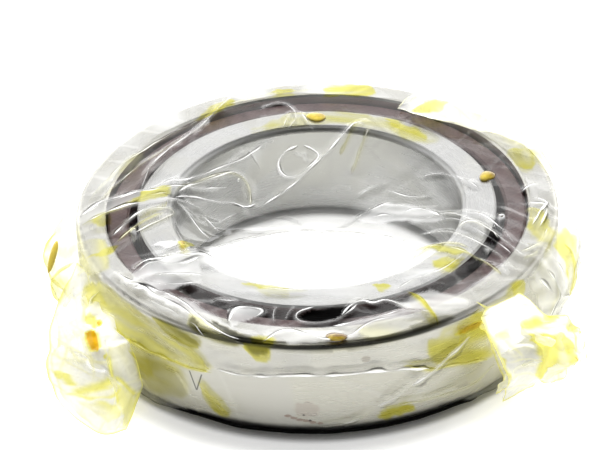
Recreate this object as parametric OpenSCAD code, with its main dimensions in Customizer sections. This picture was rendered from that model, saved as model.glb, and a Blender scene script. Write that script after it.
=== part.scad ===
// Single-row angular contact ball bearing with a one-piece machined cage.
// The bearing's axis is Z and it stands on Z = 0. The outer ring's full shoulder, which takes
// the thrust, is at the top; its relieved side, over which the ring snaps on to the balls, is
// at the bottom. Sizes are in millimetres.

/* [Boundary sizes] */
// Bore diameter, the seat on the shaft
bore_d = 45; // [44:0.5:46]
// Outside diameter, the seat in the housing
outside_d = 75; // [74:0.5:77]
// Width of both rings
width = 16; // [15.5:0.5:18]
// Corner radius of both rings, which has to clear the fillet of a shaft or housing
corner_r = 1; // [0.6:0.1:1.4]
// Smaller corner radius, on the outer ring's relieved side
relief_corner_r = 0.9; // [0.3:0.1:1]

/* [Balls] */
// Ball diameter
ball_d = 8.731; // [8.2:0.001:8.8]
// Number of balls
ball_count = 18; // [10:1:18]
// Contact angle, from the plane through the balls' centres
contact_angle = 25; // [15:5:30]

/* [Raceways] */
// Groove radius as a share of the ball diameter
groove_ratio = 0.52; // [0.515:0.005:0.53]
// Clearance between a ball and its groove at the contact point
contact_gap = 0.01; // [0.005:0.005:0.02]
// Inner ring: diameter of its two shoulders
inner_shoulder_d = 55.8; // [54:0.2:56.4]
// Outer ring: diameter of its full shoulder
outer_shoulder_d = 65.7; // [65:0.1:66]
// Outer ring: height of the lip that keeps the balls in on the relieved side
snap_lip = 0.28; // [0.2:0.02:0.4]
// Outer ring: how far the relieved side widens from the lip to the face, on radius
relief_taper = 0.2; // [0:0.05:0.4]
// Chamfer on the ring edges that meet no fillet
edge_break = 0.3; // [0.1:0.1:0.5]

/* [Cage] */
// Width of the cage along the axis
cage_width = 13.6; // [12:0.2:14.4]
// Radial thickness of the cage
cage_thick = 3.3; // [2.8:0.1:3.6]
// Clearance between the cage and the full shoulder that guides it, on radius
guide_gap = 0.25; // [0.15:0.05:0.4]
// Clearance between a ball and its pocket, on radius
pocket_gap = 0.15; // [0.08:0.01:0.25]
// Chamfer on the cage's four rims
cage_break = 0.4; // [0.2:0.1:0.6]

/* [Hidden] */
$fn = 96;
over = 1;             // how far a cutting shape stands out of what it cuts

bore_r = bore_d / 2;
outside_r = outside_d / 2;
pitch_r = (bore_r + outside_r) / 2;
mid_z = width / 2;
ball_r = ball_d / 2;

groove_r = groove_ratio * ball_d;
centre_shift = groove_r - ball_r - contact_gap;
contact_line = [cos(contact_angle), sin(contact_angle)];
outer_groove = [pitch_r, mid_z] - centre_shift * contact_line;
inner_groove = [pitch_r, mid_z] + centre_shift * contact_line;

inner_shoulder_r = inner_shoulder_d / 2;
outer_shoulder_r = outer_shoulder_d / 2;
lip_r = outer_groove.x + groove_r - snap_lip;
mouth_r = lip_r + relief_taper;

cage_outer_r = outer_shoulder_r - guide_gap;
cage_inner_r = cage_outer_r - cage_thick;
cage_z = mid_z - cage_width / 2;
pocket_r = ball_r + pocket_gap;

BALLS = [for (i = [1:ball_count]) str("ball_", i < 10 ? "0" : "", i)];

// Cutter that leaves radius r on the corner of a profile. The profile's metal lies to the right
// of and above the corner at turn 0, and turns with it.
module round_off(at, turn, r) {
    translate(at) rotate(turn) difference() {
        translate([-over, -over]) square(r + over);
        translate([r, r]) circle(r);
    }
}

// Cutter for a 45 degree chamfer of size c, placed as round_off is
module chamfer(at, turn, c) {
    translate(at) rotate(turn)
        polygon([[-over, -over], [c + over, -over], [-over, c + over]]);
}

// Puts its children at the centre of ball i, counted from 1
module at_ball(i) {
    rotate([0, 0, 360 * (i - 1) / ball_count]) translate([pitch_r, 0, mid_z]) children();
}

// Housing seat outside; inside, the groove with the full shoulder above it and the relief below
module outer_ring_profile() {
    difference() {
        polygon([
            [mouth_r, 0], [outside_r, 0], [outside_r, width], [outer_shoulder_r, width],
            [outer_shoulder_r, mid_z], [lip_r, mid_z],
            [lip_r, outer_groove.y - sqrt(groove_r^2 - (lip_r - outer_groove.x)^2)]]);
        translate(outer_groove) circle(groove_r);
        round_off([outside_r, 0], 90, relief_corner_r);
        round_off([outside_r, width], 180, corner_r);
        chamfer([outer_shoulder_r, width], 270, edge_break);
        chamfer([mouth_r, 0], 0, edge_break);
    }
}

// Shaft seat inside; outside, the groove between two equal shoulders
module inner_ring_profile() {
    difference() {
        translate([bore_r, 0]) square([inner_shoulder_r - bore_r, width]);
        translate(inner_groove) circle(groove_r);
        round_off([bore_r, 0], 0, corner_r);
        round_off([bore_r, width], 270, corner_r);
        chamfer([inner_shoulder_r, 0], 90, edge_break);
        chamfer([inner_shoulder_r, width], 180, edge_break);
    }
}

// A plain tube with its rims broken
module cage_profile() {
    difference() {
        translate([cage_inner_r, cage_z]) square([cage_thick, cage_width]);
        chamfer([cage_inner_r, cage_z], 0, cage_break);
        chamfer([cage_outer_r, cage_z], 90, cage_break);
        chamfer([cage_outer_r, cage_z + cage_width], 180, cage_break);
        chamfer([cage_inner_r, cage_z + cage_width], 270, cage_break);
    }
}

module outer_ring() {
    color("gainsboro") rotate_extrude() outer_ring_profile();
}

module inner_ring() {
    color("lightgray") rotate_extrude() inner_ring_profile();
}

// The pockets are drilled straight in, towards the bearing's axis
module cage() {
    drill_l = 2 * (cage_thick + over);
    color("#3b2f33") difference() {
        rotate_extrude() cage_profile();
        for (i = [1:ball_count])
            at_ball(i) rotate([0, 90, 0]) cylinder(r = pocket_r, h = drill_l, center = true);
    }
}

module ball(i) {
    color("silver") at_ball(i) sphere(ball_r);
}

outer_ring();
inner_ring();
cage();
for (i = [1:ball_count])
    ball(i);
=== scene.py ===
import math

import bmesh
import bpy
import numpy as np
from mathutils import Matrix, Vector
from mathutils.bvhtree import BVHTree


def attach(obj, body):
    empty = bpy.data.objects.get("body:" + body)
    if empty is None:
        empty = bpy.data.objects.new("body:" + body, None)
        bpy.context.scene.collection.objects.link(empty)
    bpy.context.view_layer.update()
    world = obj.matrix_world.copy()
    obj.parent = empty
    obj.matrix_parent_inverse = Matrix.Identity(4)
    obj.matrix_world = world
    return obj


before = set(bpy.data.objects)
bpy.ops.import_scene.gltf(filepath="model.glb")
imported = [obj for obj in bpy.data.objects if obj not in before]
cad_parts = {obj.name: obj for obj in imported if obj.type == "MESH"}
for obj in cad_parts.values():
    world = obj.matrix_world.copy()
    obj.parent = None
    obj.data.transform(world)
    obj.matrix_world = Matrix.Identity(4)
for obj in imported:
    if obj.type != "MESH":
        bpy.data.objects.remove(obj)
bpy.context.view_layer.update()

# ---- Camera and image points ---------------------------------------------------------
# The camera stands in front of the bearing, looks down on it and is rolled a little. It
# was settled by the rims named here, places in the photograph's frame of 600 by 450.
photo_width, photo_height = 600, 450
lens, sensor_width = 146.3, 36.0
camera_tilt = math.radians(33.52)
camera_roll = math.radians(-2.18)
camera_distance = 0.3881
camera_aim = Vector((-0.0027, 0.0055, 0.0083))

image_points = {
    "left edge": (44, None),
    "right edge": (583, None),
    "top edge": (None, 82),
    "bottom edge": (None, 434),
    "shoulder rim at the left": (105, 216),
    "shoulder rim at the right": (529, 206),
    "shoulder rim at the back": (326, 95),
    "bore rim at the front": (310, 289),
    "tick mark": (196, 381),
    "rust line": (304, 421),
    "tan spot": (366, 359),
    "amber drop at the back": (316, 117),
    "amber drop at the right": (487, 176),
    "oil drop at the front": (336, 337),
    "amber drop at the left": (53, 256),
}

level_x = Vector((1, 0, 0))
view_line = Vector((0, math.cos(camera_tilt), -math.sin(camera_tilt)))
level_up = Vector((0, math.sin(camera_tilt), math.cos(camera_tilt)))
camera_x = math.cos(camera_roll) * level_x + math.sin(camera_roll) * level_up
camera_y = math.cos(camera_roll) * level_up - math.sin(camera_roll) * level_x
camera_at = camera_aim - camera_distance * view_line
camera = bpy.data.objects.new("camera", bpy.data.cameras.new("camera"))
camera.data.lens = lens
camera.data.sensor_width = sensor_width
camera.data.sensor_fit = "AUTO"
camera.data.clip_start = 0.01
camera.data.clip_end = 20.0
camera_turn = Matrix((camera_x, camera_y, -view_line)).transposed().to_4x4()
camera.matrix_world = Matrix.Translation(camera_at) @ camera_turn
bpy.context.scene.collection.objects.link(camera)
bpy.context.scene.camera = camera


def sight_line(x, y):
    """The direction in which the camera sees a point of the photograph."""
    long_side = max(photo_width, photo_height)
    local = Vector((x - photo_width / 2 + camera.data.shift_x * long_side,
                    photo_height / 2 - y + camera.data.shift_y * long_side,
                    -long_side * lens / sensor_width))
    return (camera.matrix_world.to_3x3() @ local).normalized()


def shown_at(place):
    """Where the camera shows a place, in the photograph's pixels."""
    local = camera.matrix_world.inverted() @ Vector(place)
    scale = max(photo_width, photo_height) * lens / sensor_width / -local.z
    return photo_width / 2 + local.x * scale, photo_height / 2 - local.y * scale


def finished_mesh(piece):
    """The mesh of a piece as it is finished."""
    return piece.evaluated_get(bpy.context.evaluated_depsgraph_get()).to_mesh()


def surface_of(*pieces):
    """The finished surface of some pieces, for sight lines to meet."""
    places, faces = [], []
    for piece in pieces:
        finished = finished_mesh(piece)
        first = len(places)
        places += [vertex.co.copy() for vertex in finished.vertices]
        faces += [[first + corner for corner in face.vertices] for face in finished.polygons]
    return BVHTree.FromPolygons(places, faces)


def placed(name, surface, way_out=0.05, half_steps=40):
    """Where a named image point meets a surface, or the nearest to its line, and the outward normal."""
    line = sight_line(*image_points[name])
    place, normal, _, _ = surface.ray_cast(camera_at, line)
    if place is None:
        steps = [camera_at + line * (camera_distance + way_out * step / half_steps)
                 for step in range(-half_steps, half_steps + 1)]
        place, normal, _, _ = min((surface.find_nearest(step) for step in steps), key=lambda found: found[3])
    return place, normal if normal.dot(line) < 0 else -normal


# ---- Outer ring ----------------------------------------------------------------------
# Through-hardened bearing steel, turned and then ground all over, so its finest lines
# run round the axis. Oil has dried on it in patches and rust has begun at its foot.
def add_node(tree, kind, given={}, **settings):
    """A shader node of a kind, its inputs given as numbers or as the sockets that feed them."""
    made = tree.nodes.new("ShaderNode" + kind)
    for name, value in settings.items():
        setattr(made, name, value)
    for name, value in given.items():
        if isinstance(value, bpy.types.NodeSocket):
            tree.links.new(value, made.inputs[name])
        else:
            made.inputs[name].default_value = value
    return made


def sum_of(tree, operation, *values, clamp=False):
    """The result of one arithmetic node."""
    return add_node(tree, "Math", dict(enumerate(values)), operation=operation, use_clamp=clamp).outputs[0]


def ramp_of(tree, value, low, high, bottom=0.0, top=1.0):
    """value carried smoothly from bottom at low to top at high."""
    given = {"Value": value, "From Min": low, "From Max": high, "To Min": bottom, "To Max": top}
    return add_node(tree, "MapRange", given, interpolation_type="SMOOTHSTEP").outputs["Result"]


def blend_of(tree, share, first, second, way="MIX"):
    """Two colours blended by a share."""
    given = {"Factor": share, "A": first, "B": second}
    return add_node(tree, "Mix", given, data_type="RGBA", blend_type=way).outputs["Result"]


def object_place(tree):
    """The place that is being shaded, in its piece's own frame."""
    return add_node(tree, "TexCoord").outputs["Object"]


def round_axis(tree):
    """The shaded place's turn about the upright axis, its distance from that axis and its height."""
    x, y, height = add_node(tree, "SeparateXYZ", {0: object_place(tree)}).outputs
    squares = [sum_of(tree, "POWER", part, 2.0) for part in (x, y)]
    return sum_of(tree, "ARCTAN2", y, x), sum_of(tree, "SQRT", sum_of(tree, "ADD", *squares)), height


def dot_of(tree, first, second):
    """The dot product of two vectors."""
    return add_node(tree, "VectorMath", {0: first, 1: second}, operation="DOT_PRODUCT").outputs["Value"]


def new_group(name, given, results):
    """An empty node group with its inputs, each with its value, and its outputs, and its two ends."""
    group = bpy.data.node_groups.new(name, "ShaderNodeTree")
    for socket, value in given.items():
        kind = "NodeSocketFloat" if isinstance(value, float) else "NodeSocketVector"
        group.interface.new_socket(socket, in_out="INPUT", socket_type=kind).default_value = value
    for socket in results:
        group.interface.new_socket(socket, in_out="OUTPUT", socket_type="NodeSocketFloat")
    return group, group.nodes.new("NodeGroupInput").outputs, group.nodes.new("NodeGroupOutput").inputs


def group_node(tree, group, **given):
    """A node group placed in a material with that material's own values."""
    made = tree.nodes.new("ShaderNodeGroup")
    made.node_tree = group
    for name, value in given.items():
        made.inputs[name.replace("_", " ").capitalize()].default_value = value
    return made.outputs


def new_material(name):
    """A material with its node tree and its Principled shader."""
    material = bpy.data.materials.new(name)
    material.use_nodes = True
    return material, material.node_tree, material.node_tree.nodes["Principled BSDF"]


def finish_node(node_name, material):
    """Gives a CAD node a material in place of its plain one."""
    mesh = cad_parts[node_name].data
    mesh.materials.clear()
    mesh.materials.append(material)


# The marks that grinding leaves: fine lines round the axis, some deeper than the rest.
grinding, given, result = new_group("grinding marks", {"Spacing": 3500.0, "Turn": 4.0}, ["Lines"])
turn, away, height = round_axis(grinding)
across = add_node(grinding, "CombineXYZ", {0: sum_of(grinding, "MULTIPLY", turn, given["Turn"]),
                                           1: sum_of(grinding, "MULTIPLY", away, given["Spacing"]),
                                           2: sum_of(grinding, "MULTIPLY", height, given["Spacing"])})
lines = add_node(grinding, "TexNoise", {"Vector": across.outputs[0], "Scale": 1.0, "Detail": 2.0})
grinding.links.new(lines.outputs["Fac"], result["Lines"])

# Where oil has run and dried: soft patches some millimetres across with a firmer edge.
oiling, given, result = new_group("oil patches", {"Size": 90.0, "Cover": 0.5}, ["Patch"])
cloud = add_node(oiling, "TexNoise", {"Vector": object_place(oiling), "Scale": given["Size"], "Detail": 4.0,
                                      "Distortion": 0.6})
edge = sum_of(oiling, "SUBTRACT", 1.0, given["Cover"])
patch = ramp_of(oiling, cloud.outputs["Fac"], edge, sum_of(oiling, "ADD", edge, 0.12))
oiling.links.new(patch, result["Patch"])

# A stain round a place, with a ragged edge.
stain_inputs = {"Place": (0, 0, 0), "Reach": 0.001, "Ragged": 0.5, "Long": (1, 1, 1)}
staining, given, result = new_group("stain", stain_inputs, ["Mask"])
here = object_place(staining)
offset = add_node(staining, "VectorMath", {0: here, 1: given["Place"]}, operation="SUBTRACT").outputs[0]
offset = add_node(staining, "VectorMath", {0: offset, 1: given["Long"]}, operation="DIVIDE").outputs[0]
far = add_node(staining, "VectorMath", {0: offset}, operation="LENGTH").outputs["Value"]
grain = add_node(staining, "TexNoise", {"Vector": here, "Scale": 1400.0, "Detail": 3.0}).outputs["Fac"]
far = sum_of(staining, "DIVIDE", far, given["Reach"])
far = sum_of(staining, "ADD", far, sum_of(staining, "MULTIPLY", sum_of(staining, "SUBTRACT", grain, 0.5),
                                          sum_of(staining, "MULTIPLY", given["Ragged"], 4.0)))
staining.links.new(ramp_of(staining, far, 1.15, 0.75), result["Mask"])


def ground_steel(name, tone, roughness, oiled):
    """Ground bearing steel: bright, a little warmer and smoother under the oil that has dried on it."""
    material, tree, shader = new_material(name)
    lines = group_node(tree, grinding, spacing=3500.0, turn=4.0)["Lines"]
    patch = group_node(tree, oiling, size=70.0, cover=oiled)["Patch"]
    bare = blend_of(tree, lines, [0.95 * part for part in tone] + [1], [1.04 * part for part in tone] + [1])
    wet = blend_of(tree, 1.0, bare, (0.985, 0.98, 0.945, 1), "MULTIPLY")
    colour = blend_of(tree, patch, bare, wet)
    rough = ramp_of(tree, lines, 0.2, 0.8, 0.85 * roughness, 1.2 * roughness)
    rough = sum_of(tree, "MULTIPLY", rough, ramp_of(tree, patch, 0.0, 1.0, 1.0, 0.85))
    bump = add_node(tree, "Bump", {"Strength": 0.15, "Distance": 0.00002, "Height": lines})
    tangent = add_node(tree, "Tangent", direction_type="RADIAL", axis="Z")
    shader.inputs["Metallic"].default_value = 1.0
    shader.inputs["Anisotropic"].default_value = 0.5
    for socket, value in (("Base Color", colour), ("Roughness", rough), ("Normal", bump.outputs[0]),
                          ("Tangent", tangent.outputs[0])):
        tree.links.new(value, shader.inputs[socket])
    return material, tree, shader


outer_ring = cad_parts["outer_ring"]
outer_steel, tree, shader = ground_steel("outer ring steel", (0.61, 0.60, 0.55), 0.34, 0.55)
outer_surface = surface_of(outer_ring)

# Rust and a dried drop of preservative colour the ring where the photograph shows them.
# The rust runs along the foot in a thin line with a faint bloom above it and two dark pits.
# A stain: its image point, how far it is aside of and above that, its reach, how ragged its
# edge is, its stretch along the axes, its colour and its strength.
stains = [("tan spot", (0, 0), 0.00068, 0.06, (1.0, 1.0, 0.85), (0.46, 0.38, 0.27, 1), 0.6),
          ("rust line", (0.0005, 0.0021), 0.0020, 0.25, (1.0, 1.0, 0.7), (0.50, 0.38, 0.33, 1), 0.28)]
rust_run = [(-0.0024, 0.00085), (-0.0015, 0.0005), (-0.0006, 0.0002), (0.0004, 0.0), (0.0014, -0.0002),
            (0.0023, -0.0004)]
rust_pits = [(0.0, 0.0011), (0.0009, 0.0001)]
stains += [("rust line", offset, 0.00055, 0.55, (1.1, 1.1, 0.42), (0.30, 0.15, 0.09, 1), 0.6)
           for offset in rust_run]
stains += [("rust line", offset, 0.00022, 0.12, (1.0, 1.0, 0.8), (0.05, 0.03, 0.02, 1), 0.85)
           for offset in rust_pits]
upright = Vector((0, 0, 1))
colour = shader.inputs["Base Color"].links[0].from_socket
bare_share = 1.0
marks_shown = {}
for name, (aside, above), reach, ragged, long, tint, strength in stains:
    place, normal = placed(name, outer_surface)
    marks_shown[name] = shown_at(place)
    place = place + upright.cross(normal).normalized() * aside + upright * above
    mask = group_node(tree, staining, place=place, reach=reach, ragged=ragged, long=long)["Mask"]
    mask = sum_of(tree, "MULTIPLY", mask, strength)
    colour = blend_of(tree, mask, colour, tint)
    bare_share = sum_of(tree, "SUBTRACT", bare_share, mask, clamp=True)

# A small chevron is scratched into the ring, as fitters mark the way it takes thrust.
place, normal = placed("tick mark", outer_surface)
marks_shown["tick mark"] = shown_at(place)
chevron_half_width, chevron_height, chevron_line = 0.0011, 0.0034, 0.00017
here = add_node(tree, "VectorMath", {0: object_place(tree), 1: place}, operation="SUBTRACT").outputs[0]
sideways = dot_of(tree, here, upright.cross(normal).normalized())
height = sum_of(tree, "ADD", dot_of(tree, here, upright), chevron_height / 2)
arm = sum_of(tree, "MULTIPLY", height, chevron_half_width / chevron_height)
off_arm = sum_of(tree, "ABSOLUTE", sum_of(tree, "SUBTRACT", sum_of(tree, "ABSOLUTE", sideways), arm))
mark = sum_of(tree, "MULTIPLY", ramp_of(tree, off_arm, chevron_line, 0.4 * chevron_line),
              sum_of(tree, "MULTIPLY", ramp_of(tree, height, 0.0, 0.0001),
                     ramp_of(tree, height, chevron_height, 0.9 * chevron_height)))
mark = sum_of(tree, "MULTIPLY", mark, ramp_of(tree, dot_of(tree, here, normal), -0.002, -0.001))
colour = blend_of(tree, sum_of(tree, "MULTIPLY", mark, 0.85), colour, (0.06, 0.06, 0.055, 1))
tree.links.new(colour, shader.inputs["Base Color"])
tree.links.new(bare_share, shader.inputs["Metallic"])
finish_node("outer_ring", outer_steel)

# ---- Inner ring ----------------------------------------------------------------------
# The same steel, a little brighter on its narrow face, with a bore ground to size. It
# drops in over the balls and is held by the low lip of its groove.
inner_steel, tree, shader = ground_steel("inner ring steel", (0.60, 0.60, 0.595), 0.25, 0.50)
# Its rounded corners are tumbled, not ground, so they are duller than its faces.
flatness = sum_of(tree, "ABSOLUTE", dot_of(tree, add_node(tree, "NewGeometry").outputs["Normal"], upright))
corner = sum_of(tree, "MULTIPLY", ramp_of(tree, flatness, 0.06, 0.2), ramp_of(tree, flatness, 0.99, 0.93))
rough = shader.inputs["Roughness"].links[0].from_socket
rough = sum_of(tree, "ADD", rough, sum_of(tree, "MULTIPLY", corner, 0.25))
tree.links.new(rough, shader.inputs["Roughness"])
finish_node("inner_ring", inner_steel)

# ---- Cage ----------------------------------------------------------------------------
# Cotton cloth laminated with brown phenolic resin, turned to a sleeve and bored through
# for the balls. The weave shows faintly, and oil makes it gloss.
cage_resin, tree, shader = new_material("laminated phenolic cloth")
thread_pitch, cage_radius = 0.00055, 0.0313
turn, away, height = round_axis(tree)
slant = sum_of(tree, "ADD", height, away)
warp = sum_of(tree, "SINE", sum_of(tree, "MULTIPLY", turn, math.pi * cage_radius / thread_pitch))
weft = sum_of(tree, "SINE", sum_of(tree, "MULTIPLY", slant, math.pi / thread_pitch))
weave = ramp_of(tree, sum_of(tree, "MULTIPLY", warp, weft), -0.8, 0.8)
mottle = add_node(tree, "TexNoise", {"Vector": object_place(tree), "Scale": 420.0, "Detail": 4.0})
mottle = mottle.outputs["Fac"]
patch = group_node(tree, oiling, size=240.0, cover=0.45)["Patch"]
colour = blend_of(tree, ramp_of(tree, mottle, 0.3, 0.7), (0.052, 0.030, 0.033, 1), (0.115, 0.072, 0.074, 1))
colour = blend_of(tree, sum_of(tree, "MULTIPLY", weave, 0.35), colour, (0.16, 0.11, 0.10, 1))
relief = sum_of(tree, "ADD", weave, mottle)
bump = add_node(tree, "Bump", {"Strength": 0.25, "Distance": 0.00003, "Height": relief})
tree.links.new(colour, shader.inputs["Base Color"])
tree.links.new(ramp_of(tree, patch, 0.0, 1.0, 0.48, 0.22), shader.inputs["Roughness"])
tree.links.new(ramp_of(tree, patch, 0.0, 1.0, 0.1, 0.6), shader.inputs["Coat Weight"])
tree.links.new(bump.outputs[0], shader.inputs["Normal"])
shader.inputs["Coat Roughness"].default_value = 0.12
finish_node("cage", cage_resin)

# ---- Balls ---------------------------------------------------------------------------
# Eighteen lapped balls of chromium steel, mirror bright, with a breath of oil on them.
# Each sits in its own pocket of the cage and shows as a glint beside the inner ring.
ball_steel, tree, shader = new_material("lapped ball steel")
patch = group_node(tree, oiling, size=300.0, cover=0.45)["Patch"]
colour = blend_of(tree, patch, (0.78, 0.78, 0.79, 1), (0.74, 0.72, 0.63, 1))
tree.links.new(colour, shader.inputs["Base Color"])
tree.links.new(ramp_of(tree, patch, 0.0, 1.0, 0.05, 0.14), shader.inputs["Roughness"])
shader.inputs["Metallic"].default_value = 1.0
for node_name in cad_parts:
    if node_name.startswith("ball_"):
        finish_node(node_name, ball_steel)

# ---- Film pouch ----------------------------------------------------------------------
# Clear polyethylene film, cut from a sleeve and drawn round the oiled bearing. It spans
# the bore like a slack drum skin, folds down the side and is gathered at left and right.
mm = 0.001
pouch_top, pouch_foot, pouch_side, pouch_turns = 16.15, -0.14, 37.65, 600
top_corner, foot_corner, foot_corner_top = 1.05, 1.0, 0.9
corner_turns = np.linspace(0, math.pi / 2, 5)[1:]
pouch_profile = (
    [(radius, pouch_top) for radius in np.linspace(0, pouch_side - top_corner, 90)]
    + [(pouch_side - top_corner * (1 - math.sin(turn)), pouch_top - top_corner * (1 - math.cos(turn)))
       for turn in corner_turns]
    + [(pouch_side, height) for height in np.linspace(pouch_top - 1.5, foot_corner_top, 34)]
    + [(pouch_side - foot_corner * (1 - math.cos(turn)),
        foot_corner_top - (foot_corner_top - pouch_foot) * math.sin(turn)) for turn in corner_turns]
    + [(radius, pouch_foot) for radius in np.linspace(pouch_side - 2 * foot_corner, 0, 14)])


# The film is drawn flat, in millimetres from the bearing's axis: on top a place is where
# it lies, and down the side it is as much farther out as it is lower.
def down_side(turn, height):
    """The flat place of a spot on the film's side, from its direction in degrees and its height."""
    reach = pouch_side + pouch_top - height
    return reach * math.cos(math.radians(turn)), reach * math.sin(math.radians(turn))


dip_at, dip_depth, dip_rim = np.array((-11.0, 3.5)), 4.6, 23.0
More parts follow.
